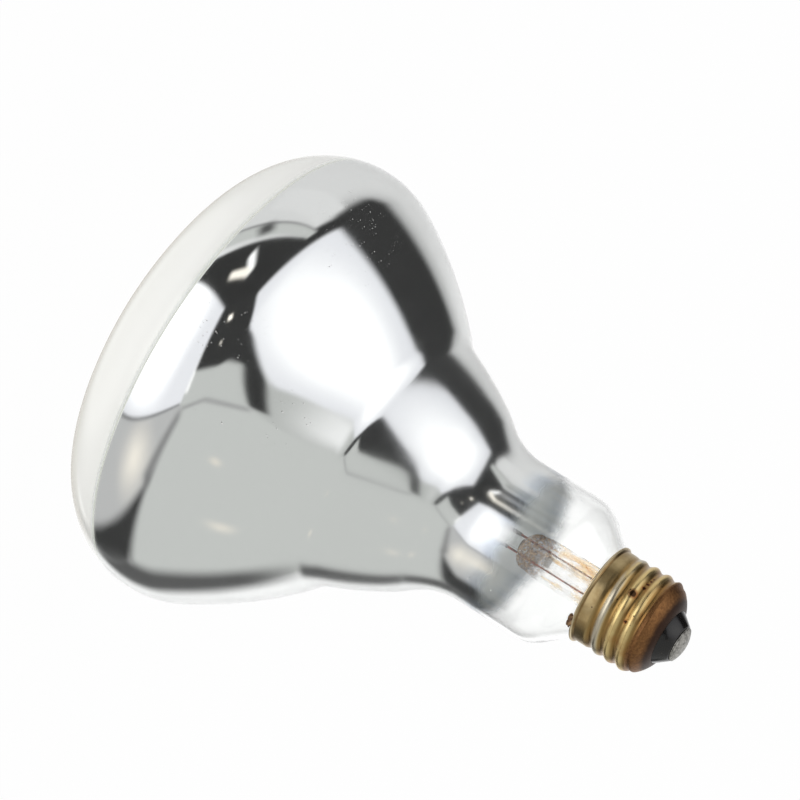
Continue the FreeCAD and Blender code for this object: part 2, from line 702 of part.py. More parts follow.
def make_stem(seal_wires):
    """Flared glass tube whose lower end is pressed flat around the seal wires."""
    tube = new_body("stem_tube")
    drawing = Drawing(tube, "stem_outline", "XZ_Plane")
    inner = drawing.path([
        ("stem_bore_r", "flare_foot"), ("stem_bore_r", "press_base"), ("stem_r", "press_base"),
        ("stem_r", "flare_foot"),
    ])
    lip = drawing.path([("flare_throat_r", "seal_end"), ("seal_r", "seal_end"), ("seal_r", "flare_lip")])
    drawing.arc((inner[-1], END), (lip[0], START), "flare_radius", -1)
    drawing.arc((lip[-1], END), (inner[0], START), "flare_bore_radius", 1)
    revolve(tube, drawing, "stem_turned")

    round_end = primitive("Part::Circle", "press_round", "press_base", Radius="worked.stem_r")
    flat_end = primitive(
        "Part::Ellipse", "press_flat", "press_shoulder",
        MajorRadius="sizes.press_width / 2", MinorRadius="sizes.press_thickness / 2",
    )
    taper = boolean("Part::Loft", "press_taper", Sections=[round_end, flat_end], Solid=True)
    down = FreeCAD.Vector(0, 0, -1)
    blade = boolean("Part::Extrusion", "press_blade", Base=flat_end, DirMode="Custom", Dir=down, Solid=True)
    blade.setExpression("LengthFwd", cell("press_length"))
    glass = boolean("Part::MultiFuse", "stem_glass", Shapes=[tube, taper, blade])
    wires = boolean("Part::Compound", "press_wires", Links=seal_wires)
    return boolean("Part::Cut", "stem", Base=glass, Tool=wires)


def make_filament():
    """Coiled filament, as the round bar that the coil fills: half a ring between the inner leads."""
    coil = primitive(
        "Part::Torus", "filament", "filament_level",
        Radius1="sizes.filament_radius", Radius2="sizes.filament_diameter / 2",
        Angle3="180 deg - 2 * worked.filament_trim",
    )
    coil.setExpression("Placement.Rotation.Angle", "worked.filament_trim")
    return coil


def make_support_wire(number_in_row):
    """Wire from the glass button to an eye around the filament."""
    heading = math.radians(90 + (number_in_row - 2) * number("support_spacing"))
    reach = number("filament_radius")
    button = FreeCAD.Vector(0, 0, number("button_level"))
    outward = FreeCAD.Vector(math.cos(heading), math.sin(heading), 0)
    eye_place = outward * reach + FreeCAD.Vector(0, 0, number("filament_level"))
    along_coil = FreeCAD.Vector(-outward.y, outward.x, 0)
    up = FreeCAD.Vector(0, 0, 1)
    label = f"support_wire_{number_in_row}"
    rod = primitive(
        "Part::Cylinder", f"{label}_rod",
        Radius="sizes.support_wire_diameter / 2", Height=cell("support_length"),
    )
    along_rod = (eye_place - button).normalize()
    rod_start = button + along_rod * number("support_start")
    rod.Placement = FreeCAD.Placement(rod_start, FreeCAD.Rotation(up, along_rod))
    eye = primitive(
        "Part::Torus", f"{label}_eye", Radius1=cell("eye_r"), Radius2="sizes.support_wire_diameter / 2"
    )
    eye.Placement = FreeCAD.Placement(eye_place, FreeCAD.Rotation(up, along_coil))
    return boolean("Part::Fuse", label, Base=rod, Tool=eye)


def make_arbor(supports):
    """Glass cane below the press with a button that holds the support wires."""
    cane = primitive(
        "Part::Cylinder", "arbor_cane", "button_level",
        Radius="sizes.arbor_diameter / 2", Height=cell("arbor_length"),
    )
    button = primitive("Part::Sphere", "arbor_button", "button_level", Radius="sizes.button_diameter / 2")
    glass = boolean("Part::Fuse", "arbor_glass", Base=cane, Tool=button)
    wires = boolean("Part::Compound", "button_wires", Links=supports)
    return boolean("Part::Cut", "arbor", Base=glass, Tool=wires)


def make_side_solder(neighbours):
    """Lump of solder that ties the side lead to the rim of the shell."""
    lump = primitive(
        "Part::Sphere", "side_lump", "solder_level", "lip_r", Radius="sizes.side_solder_diameter / 2"
    )
    around = boolean("Part::Compound", "solder_neighbours", Links=neighbours)
    return boolean("Part::Cut", "side_solder", Base=lump, Tool=around)


envelope = make_envelope()
shell = make_base_shell()
side_seal_wire = make_seal_wire("seal_wire_side", "lead_r")
centre_seal_wire = make_seal_wire("seal_wire_centre", "lead_back_x")
side_lead = make_wire("outer_lead_side", "outer_lead_diameter", [
    ("lead_r", "press_base"), ("lead_r", "lead_crest"), ("gap_mid_r", "lead_crest"),
    ("gap_mid_r", "gap_turn"), ("lead_tip_r", "solder_level"),
])
centre_lead = make_wire("outer_lead_centre", "outer_lead_diameter", [
    ("lead_back_x", "press_base"), ("lead_back_x", "lead_crest"), (None, "lead_axis"), (None, "lead_end"),
])
supports = [make_support_wire(i) for i in (1, 2, 3)]
cement = boolean("Part::Cut", "basing_cement", Base=make_cement_blank(), Tool=side_lead)
parts = [
    envelope,
    make_reflector_coating(),
    make_stem([side_seal_wire, centre_seal_wire]),
    make_exhaust_tube(),
    make_arbor(supports),
    side_seal_wire,
    centre_seal_wire,
    make_wire("inner_lead_side", "inner_lead_diameter", [
        ("lead_r", "weld_level"), ("lead_r", "lead_knee"), ("filament_radius", "lead_elbow"),
        ("filament_radius", "lead_foot"),
    ]),
    make_wire("inner_lead_centre", "inner_lead_diameter", [
        ("lead_back_x", "weld_level"), ("lead_back_x", "lead_knee"), ("filament_back_x", "lead_elbow"),
        ("filament_back_x", "lead_foot"),
    ]),
    side_lead,
    centre_lead,
    make_filament(),
    *supports,
    shell,
    cement,
    make_base_insulator(),
    make_centre_contact(),
    boolean("Part::Cut", "tip_solder", Base=make_solder_blank(), Tool=centre_lead),
    make_side_solder([shell, envelope, side_lead, cement]),
]
doc.recompute()

for thing in doc.Objects:
    if "Invalid" in thing.State or "Error" in thing.State:
        raise RuntimeError(f"{thing.Label} failed: {thing.getStatusString()}")
for part in parts:
    if part.Shape.isNull() or not part.Shape.isValid() or len(part.Shape.Solids) != 1:
        raise RuntimeError(f"{part.Label} is not one sound solid")

os.makedirs("parts", exist_ok=True)
for part in parts:
    part.Shape.exportStep(f"parts/{part.Label}.step")
    print(f"{part.Label}: {part.Shape.Volume:.2f} cubic millimetres")
print(f"overall length {number('face_radius') - number('face_centre'):.2f}, {len(parts)} pieces")
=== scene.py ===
# %% [markdown]
# # An infrared heat lamp bulb
#
# The lamp is one blown glass envelope with a frosted face, a mirror film inside its back and a clear neck,
# closed by a stem and cemented into a rolled brass screw shell. The solid model gives every piece its place.
# This lesson dresses those pieces: it makes smooth surfaces of glass, film and brass from formulas, gives
# each one a finish, and lights them as a small product studio would.

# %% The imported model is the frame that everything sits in
import math

import bmesh
import bpy
import numpy as np
from mathutils import Matrix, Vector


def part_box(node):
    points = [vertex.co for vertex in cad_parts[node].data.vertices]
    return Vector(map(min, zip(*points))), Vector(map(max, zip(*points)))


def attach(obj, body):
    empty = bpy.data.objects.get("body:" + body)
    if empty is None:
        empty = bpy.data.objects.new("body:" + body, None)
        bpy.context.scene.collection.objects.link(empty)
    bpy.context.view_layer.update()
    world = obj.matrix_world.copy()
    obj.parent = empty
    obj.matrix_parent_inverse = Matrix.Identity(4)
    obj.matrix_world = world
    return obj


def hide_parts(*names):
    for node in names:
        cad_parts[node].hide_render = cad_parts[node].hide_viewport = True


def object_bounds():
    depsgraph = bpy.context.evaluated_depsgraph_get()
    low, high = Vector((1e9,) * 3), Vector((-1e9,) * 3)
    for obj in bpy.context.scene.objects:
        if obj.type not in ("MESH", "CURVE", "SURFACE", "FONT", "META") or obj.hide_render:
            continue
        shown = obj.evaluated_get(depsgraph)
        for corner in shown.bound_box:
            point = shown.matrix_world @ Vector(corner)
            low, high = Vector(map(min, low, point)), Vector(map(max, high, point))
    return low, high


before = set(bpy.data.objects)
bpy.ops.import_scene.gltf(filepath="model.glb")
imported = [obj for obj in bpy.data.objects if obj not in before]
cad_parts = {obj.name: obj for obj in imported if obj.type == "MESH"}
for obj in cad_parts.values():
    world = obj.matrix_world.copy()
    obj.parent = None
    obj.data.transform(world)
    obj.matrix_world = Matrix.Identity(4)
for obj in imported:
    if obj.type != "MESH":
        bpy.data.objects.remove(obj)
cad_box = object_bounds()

MM = 0.001
print("pieces in the solid model:", len(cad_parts))


# %% [markdown]
# ## Surfaces from numpy grids
#
# Nearly every piece of a lamp is turned, drawn or bent, so its skin is a grid: one parameter runs along an
# outline, the other around it. A lathe could be a curve with a Screw modifier, but a grid of points lets a
# thread, a pressed flat or a rough lump be one more term in the formula. The grid becomes a mesh in one step,
# its poles and its seam are merged, and its sign of volume says whether the faces point outwards.

# %% Grid to mesh
def grid_faces(rows, columns, loop):
    """Corners of each quad between neighbouring rows.

    Columns close on themselves, and rows do too when loop is set.
    """
    row = np.arange(rows if loop else rows - 1)
    first = row[:, None] * columns
    second = (row + 1)[:, None] % rows * columns
    column = np.arange(columns)[None, :]
    after = (column + 1) % columns
    corners = [first + column, first + after, second + after, second + column]
    return np.stack(corners, axis=-1).reshape(-1, 4)


def signed_volume(points, faces):
    """Sum of the tetrahedra from the origin to each half of each quad: positive if faces point outwards."""
    a, b, c, d = (points[faces[:, i]] for i in range(4))
    halves = np.einsum("ij,ij->i", a, np.cross(b, c)) + np.einsum("ij,ij->i", a, np.cross(c, d))
    return halves.sum() / 6


# %% Mesh to piece
def piece(name, points, replaces, finishes, loop=False, row_finish=None):
    """Makes a smooth closed piece from a grid of points in millimetres, and puts it into the frame.

    row_finish gives the index of the finish for each row of faces.
    """
    rows, columns = points.shape[:2]
    flat = points.reshape(-1, 3) * MM
    faces = grid_faces(rows, columns, loop)
    if signed_volume(flat, faces) < 0:
        faces = faces[:, ::-1]
    mesh = bpy.data.meshes.new(name)
    mesh.from_pydata(flat, [], faces)
    for finish in finishes:
        mesh.materials.append(finish)
    if row_finish is not None:
        mesh.polygons.foreach_set("material_index", np.repeat(row_finish, columns).astype(np.int32))
    work = bmesh.new()
    work.from_mesh(mesh)
    bmesh.ops.remove_doubles(work, verts=work.verts, dist=1e-7)
    work.to_mesh(mesh)
    work.free()
    mesh.polygons.foreach_set("use_smooth", np.ones(len(mesh.polygons), dtype=bool))
    made = bpy.data.objects.new(name, mesh)
    bpy.context.scene.collection.objects.link(made)
    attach(made, "root")
    if replaces:
        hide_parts(replaces)
    print(f"{name}: {len(mesh.polygons)} faces")


# %% Outlines and steps
def around(count):
    """Angles of the columns, once around the axis."""
    return np.arange(count) * (2 * math.pi / count)


def lathe(radius, height, columns=192):
    """Turns an outline about Z: each point is (radius cos angle, radius sin angle, height)."""
    turn = around(columns)[None, :]
    radius = np.asarray(radius)[:, None]
    height = np.broadcast_to(np.asarray(height)[:, None], (len(radius), columns))
    return np.stack([radius * np.cos(turn), radius * np.sin(turn), height], axis=-1)


def spaced(radius, height, count):
    """The same outline with points at even steps along its length."""
    steps = np.hypot(np.diff(radius), np.diff(height))
    along = np.concatenate([[0.0], np.cumsum(steps)])
    even = np.linspace(0.0, along[-1], count)
    return np.interp(even, along, radius), np.interp(even, along, height)


def ramp(value, low, high):
    """Smooth step from 0 at low to 1 at high."""
    t = np.clip((np.asarray(value) - low) / (high - low), 0.0, 1.0)
    return t * t * (3 - 2 * t)


# %% [markdown]
# ## Shader maths as expressions
#
# A finish is mostly arithmetic on a place: how high, how far round, how rough. Writing that as node calls
# hides the idea, so one class wraps a node's output and lets plain operators add the Math nodes.

# %% A wrapped socket
class Wire:
    """Output of a node. Arithmetic on it adds Math nodes to its tree."""

    def __init__(self, tree, socket):
        self.tree = tree
        self.socket = socket

    def node(self, kind, settings, sockets, output=0):
        """Adds any node: its type, its settings, then the values or wires of its sockets."""
        made = self.tree.nodes.new(kind)
        for name, value in settings.items():
            setattr(made, name, value)
        for name, value in sockets.items():
            if isinstance(value, Wire):
                self.tree.links.new(value.socket, made.inputs[name])
            else:
                made.inputs[name].default_value = value
        return Wire(self.tree, made.outputs[output] if made.outputs else None)

    def math(self, operation, *values):
        """Adds a Math node on some values or wires."""
        return self.node("ShaderNodeMath", {"operation": operation}, dict(enumerate(values)))

    def __add__(self, other):
        return self.math("ADD", self, other)

    def __sub__(self, other):
        return self.math("SUBTRACT", self, other)

    def __rsub__(self, other):
        return self.math("SUBTRACT", other, self)

    def __mul__(self, other):
        return self.math("MULTIPLY", self, other)

    __radd__ = __add__
    __rmul__ = __mul__

    def rise(self, low, high):
        """Smooth step from 0 at low to 1 at high, or down if high is the smaller."""
        sockets = {"Value": self, "From Min": low, "From Max": high}
        return self.node("ShaderNodeMapRange", {"interpolation_type": "SMOOTHSTEP"}, sockets)

    def blend(self, first, second):
        """Colour that goes from first to second as this value goes from 0 to 1."""
        return self.node("ShaderNodeMix", {"data_type": "RGBA"}, {0: self, 6: first, 7: second}, output=2)

    def axis(self, name):
        """One component of a vector: X, Y or Z."""
        return self.node("ShaderNodeSeparateXYZ", {}, {0: self}, output=name)

    def noise(self, scale, detail=3.0, roughness=0.55):
        """Cloudy noise with cells of 1 / scale."""
        sockets = {"Vector": self, "Scale": scale, "Detail": detail, "Roughness": roughness}
        return self.node("ShaderNodeTexNoise", {}, sockets)

    def speck(self, scale, size, share):
        """1 inside small round specks: one to a cell of 1 / scale, in a share of the cells."""
        cells = {"Vector": self, "Scale": scale}
        distance = self.node("ShaderNodeTexVoronoi", {}, cells)
        colour = self.node("ShaderNodeTexVoronoi", {}, cells, output="Color")
        chosen = colour.axis("X").rise(share + 0.001, share)
        return distance.rise(size, size * 0.5) * chosen


# %% Colours, finishes and layers
def paint(red, green, blue):
    """Linear colour from the 0 to 255 values that a screen shows."""
    shown = np.array([red, green, blue]) / 255
    linear = np.where(shown <= 0.04045, shown / 12.92, ((shown + 0.055) / 1.055) ** 2.4)
    return (*linear.tolist(), 1.0)


def new_finish(name):
    """An empty material and the wire of its Object coordinates, in metres."""
    material = bpy.data.materials.new(name)
    material.use_nodes = True
    material.node_tree.nodes.clear()
    place = material.node_tree.nodes.new("ShaderNodeTexCoord")
    return material, Wire(material.node_tree, place.outputs["Object"])


def close_finish(material, shader):
    """Joins a shader to the material's output."""
    shader.node("ShaderNodeOutputMaterial", {}, {"Surface": shader})
    print(f"finish {material.name}: {len(material.node_tree.nodes)} nodes")
    return material


def layered(share, under, over):
    """Shader that goes from under to over as the share goes from 0 to 1."""
    return under.node("ShaderNodeMixShader", {}, {0: share, 1: under, 2: over})


def bumped(place, height, distance, strength=1.0):
    """Normal of a surface whose height varies between 0 and 1 over a distance in metres."""
    return place.node("ShaderNodeBump", {}, {"Height": height, "Distance": distance, "Strength": strength})


# %% [markdown]
# ## The blown outline
#
# The glass is blown into a mould, so its outline is a chain of arcs that meet smoothly: the shallow face, the
# tight rim at the widest part, the long curve of the back, a hollow waist, the bulge, the throat, the neck
# and the shoulder that dips into the shell. Each arc is its centre, its radius and the two angles of its
# outward normal, and the inside of the glass is the same chain with every radius changed by the wall. The
# waist is tighter than in the solid and the bulge has a flat flank and a rounder crown, all within a third
# of a millimetre of it, because a mirror shows slopes that an outline hides.

# %% Sizes of the glass, in millimetres
BULB_R = 62.5
FACE_R = 108.0
RIM_R = 24.9
BACK_R = 117.5
CONE_LENGTH = 40.1
WAIST_R = 37.7
WAIST_FILLET = 12.0
BULGE_LENGTH = 35.3
FLANK_R = 110.0
CROWN_R = 50.0
BULGE_JOINT = math.radians(30.0)
THROAT_FILLET = 20.1
NECK_R = 20.2
NECK_LENGTH = 17.0
SHOULDER_R = 10.2
SLOPE = math.radians(40.0)
SEAL_R = 11.4
SEAL_FILLET = 1.5
SEAL_LENGTH = 6.0
GLASS_WALL = 0.9

SHELL_LOW, SHELL_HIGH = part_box("base_shell")
RIM_Z = SHELL_LOW[2] / MM
RIM_GLASS_R = 12.5
print(f"rim of the shell at {RIM_Z:.2f} mm")


# %% Circles that meet
def meeting(a, a_radius, b, b_radius):
    """Where two circles meet, to the left of the line from the first centre to the second."""
    span = b - a
    length = np.hypot(*span)
    along = (length**2 + a_radius**2 - b_radius**2) / (2 * length)
    across = math.sqrt(a_radius**2 - along**2)
    unit = span / length
    left = np.array([-unit[1], unit[0]])
    return a + unit * along + left * across


def heading(a, b):
    """Angle of the direction from one point to another."""
    return math.atan2(b[1] - a[1], b[0] - a[0])


# %% Chain of arcs
def glass_arcs():
    """Centre, radius, sign and first and last normal of each arc, from the face to the seal.

    The sign is 1 where the glass is convex and -1 where it is hollow. Straight stretches are the gaps
    between the arcs.
    """
    shoulder_end_r = NECK_R - SHOULDER_R * (1 - math.cos(SLOPE))
    shoulder_end = RIM_Z - (shoulder_end_r - RIM_GLASS_R) / math.tan(SLOPE)
    neck_top = shoulder_end - SHOULDER_R * math.sin(SLOPE)
    throat = neck_top - NECK_LENGTH
    waist = np.array([WAIST_R, throat - BULGE_LENGTH])
    rim_centre = np.array([BULB_R - RIM_R, waist[1] - CONE_LENGTH])
    face_centre = np.array([0.0, rim_centre[1] + math.sqrt((FACE_R - RIM_R) ** 2 - rim_centre[0] ** 2)])
    back_centre = meeting(rim_centre, BACK_R - RIM_R, waist, BACK_R)
    at_waist = heading(back_centre, waist)
    waist_centre = waist + WAIST_FILLET * np.array([math.cos(at_waist), math.sin(at_waist)])
    throat_centre = np.array([NECK_R + THROAT_FILLET, throat])
    joint = (FLANK_R - CROWN_R) * np.array([math.cos(BULGE_JOINT), math.sin(BULGE_JOINT)])
    flank_centre = meeting(
        waist_centre, FLANK_R + WAIST_FILLET, throat_centre - joint, CROWN_R + THROAT_FILLET,
    )
    crown_centre = flank_centre + joint
    at_rim = heading(face_centre, rim_centre)
    at_back = heading(back_centre, rim_centre)
    at_bulge = heading(flank_centre, waist_centre)
    at_throat = heading(crown_centre, throat_centre)
    seal_foot_r = SEAL_R + SEAL_FILLET * (1 - math.cos(SLOPE))
    seal_start = RIM_Z + (RIM_GLASS_R - seal_foot_r) / math.tan(SLOPE) + SEAL_FILLET * math.sin(SLOPE)
    return [
        (face_centre, FACE_R, 1, -math.pi / 2, at_rim),
        (rim_centre, RIM_R, 1, at_rim, at_back),
        (back_centre, BACK_R, 1, at_back, at_waist),
        (waist_centre, WAIST_FILLET, -1, at_waist, at_bulge),
        (flank_centre, FLANK_R, 1, at_bulge, BULGE_JOINT),
        (crown_centre, CROWN_R, 1, BULGE_JOINT, at_throat),
        (throat_centre, THROAT_FILLET, -1, at_throat, 0.0),
        (np.array([NECK_R - SHOULDER_R, neck_top]), SHOULDER_R, 1, 0.0, SLOPE),
        (np.array([SEAL_R + SEAL_FILLET, seal_start]), SEAL_FILLET, -1, SLOPE, 0.0),
    ], seal_start + SEAL_LENGTH


# %% Outline at any depth in the wall
ARC_STEPS = 400


def glass_outline(inset):
    """Outline set inwards by a distance.

    Each point is centre + sign * (radius - sign * inset) * (cos, sin) of the normal.
    """
    arcs, seal_end = glass_arcs()
    runs = []
    for centre, radius, sign, first, last in arcs:
        normal = np.linspace(first, last, ARC_STEPS)
        reach = sign * (radius - sign * inset)
        runs.append(centre + reach * np.stack([np.cos(normal), np.sin(normal)], axis=-1))
    runs.append(np.array([[SEAL_R - inset, seal_end]]))
    chain = np.concatenate(runs)
    chain[0, 0] = 0.0
    return chain[:, 0], chain[:, 1]


ARCS, SEAL_END = glass_arcs()
RIM_CENTRE = ARCS[1][0]
THROAT_CENTRE = ARCS[6][0]
WIDEST = RIM_CENTRE[1]
THROAT = THROAT_CENTRE[1]
FILM_FRONT = WIDEST - 5.4
FILM_NECK = THROAT + 8.1
print(f"widest at {WIDEST:.1f} mm, throat at {THROAT:.1f} mm")
print(f"film from {FILM_FRONT:.1f} to {FILM_NECK:.1f} mm")


# %% [markdown]
# ## Glass and frost
#
# Clear glass is a real dielectric wall here, because the bright line along its edge and the view through the
# neck come from two refracting skins. Light that enters frosted glass is scattered back out of it, which a
# path tracer follows slowly, so the frosted face is chalky ivory under a clear coat on the outer rows, with
# painted shade that greys it towards its outer edge. On the inner rows the frost glows a little: a painted
# glow that stands for the daylight that the face lets into the bulb. White dust lies on the outside of the
# clear glass, where the film behind it makes it show.

# %% Clear glass, clean and dusty
def glass_wall(place):
    """Water-clear glass with faint smears and the slow waves of blown glass."""
    waves = place.noise(45.0, 1.0)
    smears = place.noise(160.0, 4.0).rise(0.55, 0.75)
    return place.node("ShaderNodeBsdfPrincipled", {}, {
        "Base Color": (0.985, 0.99, 0.985, 1.0),
        "Roughness": smears * 0.02,
        "IOR": 1.5,
        "Transmission Weight": 1.0,
        "Normal": bumped(place, waves, 0.0004, 0.2),
    })


def clear_glass():
    """Clean glass, for the inside and the small glass pieces."""
    material, place = new_finish("clear_glass")
    return close_finish(material, glass_wall(place))


DRIFTS = [
    # Middle and radius of each drift of dust, in millimetres.
    ((38.5, -28.5, -101.0), 11.0),
    ((-2.0, -58.0, -116.0), 17.0),
    ((42.5, -45.0, -123.5), 13.0),
]


def dusty_glass():
    """Glass with a few specks of white dust, which lie thicker in drifts."""
    material, place = new_finish("dusty_glass")
    thick = place.speck(300.0, 0.07, 0.09)
    specks = place.speck(560.0, 0.11, 0.5) + place.speck(900.0, 0.14, 0.5)
    for middle, radius in DRIFTS:
        spot = tuple(value * MM for value in middle)
        away = place.node(
            "ShaderNodeVectorMath", {"operation": "DISTANCE"}, {0: place, 1: spot}, output="Value",
        )
        thick = thick + specks * away.rise(radius * MM, radius * 0.3 * MM)
    cover = thick.math("MINIMUM", thick, 1.0)
    dust = place.node("ShaderNodeBsdfPrincipled", {}, {"Base Color": paint(250, 249, 246), "Roughness": 1.0})
    return close_finish(material, layered(cover, glass_wall(place), dust))


# %% Frost, from outside and from inside
# Heights in millimetres of the painted shade on the face: the frost is greyest below the first and palest
# above the second.
FROST_SHADED_Z = -149.0
FROST_LIT_Z = -139.0


def face_frost():
    """Ivory frost under clear glass with painted shade away from the film, cloudy on a large scale, with
    specks of dust.
    """
    material, place = new_finish("face_frost")
    cloud = place.noise(25.0, 3.0).rise(0.3, 0.7)
    dust = place.speck(160.0, 0.05, 0.06)
    # painted shade: the frost is greyer towards the outer edge of the face and paler towards the film
    painted_light_towards_film = (place.axis("Z") + cloud * MM).rise(FROST_SHADED_Z * MM, FROST_LIT_Z * MM)
    frost = painted_light_towards_film.blend(paint(240, 240, 234), paint(254, 254, 249))
    shader = place.node("ShaderNodeBsdfPrincipled", {}, {
        "Base Color": dust.blend(frost, paint(176, 172, 164)),
        "Roughness": 0.8,
        "Coat Weight": 1 - dust * 0.7,
        "Coat Roughness": 0.02,
        "Coat IOR": 1.5,
    })
    return close_finish(material, shader)


def lit_frost():
    """Frost seen from inside, with a painted glow that stands for daylight coming through it."""
    material, place = new_finish("lit_frost")
    cloud = place.noise(25.0, 3.0).rise(0.3, 0.7)
    shader = place.node("ShaderNodeBsdfPrincipled", {}, {
        "Base Color": paint(236, 236, 230),
        "Roughness": 0.8,
        # painted glow: emission that stands for daylight let in through the face
        "Emission Color": cloud.blend(paint(232, 234, 236), paint(222, 224, 226)),
        "Emission Strength": 0.45,
    })
    return close_finish(material, shader)


# %% Envelope
CLEAR_GLASS = clear_glass()
FROST_EDGE = FILM_FRONT - 0.6
CLEAN, FROSTED, LIT, DUSTY = range(4)


def stretch(inset, low, high, count):
    """The outline between two heights, in even steps."""
    chain_r, chain_z = glass_outline(inset)
    between = (chain_z > low) & (chain_z < high)
    ends_r = np.interp([low, high], chain_z, chain_r)
    radius = np.concatenate([ends_r[:1], chain_r[between], ends_r[1:]])
    return spaced(radius, np.concatenate([[low], chain_z[between], [high]]), count)


def envelope_outline():
    """Closed section of the wall, up the outside and back down the inside, with the finish of each row."""
    lowest = glass_outline(0.0)[1][0]
    runs = [
        (stretch(0.0, lowest, FROST_EDGE, 80), FROSTED),
        (stretch(0.0, FROST_EDGE, SEAL_END, 150), DUSTY),
        (np.flip(stretch(GLASS_WALL, FILM_FRONT, SEAL_END, 110), axis=1), CLEAN),
        (np.flip(stretch(GLASS_WALL, lowest + GLASS_WALL, FILM_FRONT, 60), axis=1), LIT),
    ]
    section = np.concatenate([np.asarray(run) for run, _ in runs], axis=1)
    row_finish = np.concatenate([np.full(len(run[0]), finish) for run, finish in runs])
    return section, row_finish[:-1]


(wall_r, wall_z), wall_finish = envelope_outline()
piece(
    "glass_envelope", lathe(wall_r, wall_z), "envelope",
    [CLEAR_GLASS, face_frost(), lit_frost(), dusty_glass()], row_finish=wall_finish,
)


# %% [markdown]
# ## The mirror film
#
# Aluminium is evaporated onto the inside of the glass, which leaves a bright film that ends in a soft edge in
# the neck. The film is a thin shell of its own just inside the glass. Metal with little roughness gives the
# reflections, and Alpha fades the edge, which ends two millimetres past the end of the solid's film. The film
# is hazier on the bulge, and the side that faces the filament is a satin grey.

# %% Film
FILM_INSET = GLASS_WALL - 0.03
FILM_THICKNESS = 0.2
FADE = 7.0
FILM_END = FILM_NECK + 2.0
WAIST = THROAT - BULGE_LENGTH


def mirror_film(name, base_haze):
    """Bright film: metal, hazier past the waist, that thins out along the neck in bluish streaks."""
    material, place = new_finish(name)
    height = place.axis("Z")
    haze = place.noise(60.0, 3.0).rise(0.45, 0.8) * 0.03
    bulge = height.rise((WAIST - 8.0) * MM, (WAIST + 10.0) * MM) * 0.06
    drawn = place.node("ShaderNodeMapping", {}, {"Vector": place, "Scale": (1.0, 1.0, 0.22)})
    streak = drawn.noise(190.0, 3.0, 0.5)
    edge = (height + (streak - 0.5) * (4.0 * MM)).rise(FILM_END * MM, (FILM_END - FADE) * MM)
    thin = height.rise((FILM_END - 10.0) * MM, (FILM_END - 3.0) * MM) * streak.rise(0.35, 0.6)
    shader = place.node("ShaderNodeBsdfPrincipled", {}, {
        "Base Color": thin.blend((0.87, 0.88, 0.875, 1.0), (0.66, 0.72, 0.8, 1.0)),
        "Metallic": 1.0,
        "Roughness": haze + bulge + base_haze,
        "Alpha": edge,
    })
    return close_finish(material, shader)


FILM_ROWS = 150
outer_skin = stretch(FILM_INSET, FILM_FRONT, FILM_END, FILM_ROWS)
inner_skin = stretch(FILM_INSET + FILM_THICKNESS, FILM_FRONT, FILM_END, FILM_ROWS)
film_r, film_z = np.concatenate([outer_skin, np.flip(inner_skin, axis=1)], axis=1)
piece(
    "mirror_film", lathe(film_r, film_z), "reflector_coating",
    [mirror_film("mirror_film", 0.05), mirror_film("film_inside", 0.3)], loop=True,
    row_finish=np.repeat([0, 1], FILM_ROWS),
)


# %% [markdown]
# ## The stem
#
# The stem is a glass tube with one end flared and fused to the neck and the other pressed flat around the
# wires. As a surface it is a tube whose section turns from a circle into a flat oval. Heat and the
# evaporated metal leave it stained: a speckled brown crust on the press and amber runs along the tube.

# %% Stem sizes, in millimetres
STEM_R = 5.5
STEM_WALL = 0.9
FLARE_LENGTH = 12.0
STEM_LENGTH = 12.4
PRESS_TAPER = 3.0
PRESS_LENGTH = 4.0
PRESS_HALF_WIDTH = 5.6
PRESS_HALF_THICKNESS = 4.4
PRESS_ROUND = 3.6
FLARE_FOOT = SEAL_END - FLARE_LENGTH
PRESS_BASE = FLARE_FOOT - STEM_LENGTH
PRESS_END = PRESS_BASE - PRESS_TAPER - PRESS_LENGTH
TUBE_START = PRESS_BASE + 2.0
STEM_TOP = SEAL_END + STEM_WALL
FLARE_REACH = STEM_TOP + 9.0
FLARE_WIDENING = (SEAL_R - STEM_R) * 1.12
BORE_ROUND = 1.5
STEM_COLUMNS = 128
print(f"press from {PRESS_END:.1f} to {PRESS_BASE:.1f} mm")


# %% Stem surface
def flared(radius, z):
    """A tube that opens towards the seal: radius + widening * smooth step of the height."""
    return radius + FLARE_WIDENING * ramp(z, FLARE_FOOT, FLARE_REACH)


def stem_points():
    """Oval rows: x = wide cos angle, y = thin sin angle, up the outside and back down the bore."""
    z = np.concatenate([
        np.full(2, PRESS_END), np.linspace(PRESS_END, TUBE_START, 50)[1:],
        np.linspace(TUBE_START, STEM_TOP, 60)[1:],
    ])
    tube = flared(STEM_R, z)
    flat = 1 - ramp(z, PRESS_END + PRESS_LENGTH - 0.5, PRESS_BASE + 1.0)
    rounded = np.sqrt(1 - np.clip(1 - (z - PRESS_END) / PRESS_ROUND, 0, 1) ** 2)
    wide = (tube + (PRESS_HALF_WIDTH - STEM_R) * flat) * rounded
    thin = (tube + (PRESS_HALF_THICKNESS - STEM_R) * flat) * rounded
    bore_z = np.linspace(STEM_TOP, PRESS_BASE, 60)
    closed = np.sqrt(np.clip((bore_z - PRESS_BASE) / BORE_ROUND, 0, 1))
    bore = np.append(flared(STEM_R - STEM_WALL, bore_z) * closed, 0.0)
    z = np.concatenate([z, bore_z, bore_z[-1:]])
    wide = np.append(wide, bore)[:, None]
    thin = np.append(thin, bore)[:, None]
    turn = around(STEM_COLUMNS)[None, :]
    height = np.broadcast_to(z[:, None], (len(z), STEM_COLUMNS))
    return np.stack([wide * np.cos(turn), thin * np.sin(turn), height], axis=-1)


# %% Stem glass
def thin_glass(place):
    """Glass of a thin tube: most of the light goes straight through, and the rest bends and glints."""
    return place.node("ShaderNodeBsdfPrincipled", {}, {
        "Base Color": (0.99, 0.98, 0.965, 1.0), "Roughness": 0.03, "IOR": 1.3, "Transmission Weight": 1.0,
        "Alpha": 0.1,
    })


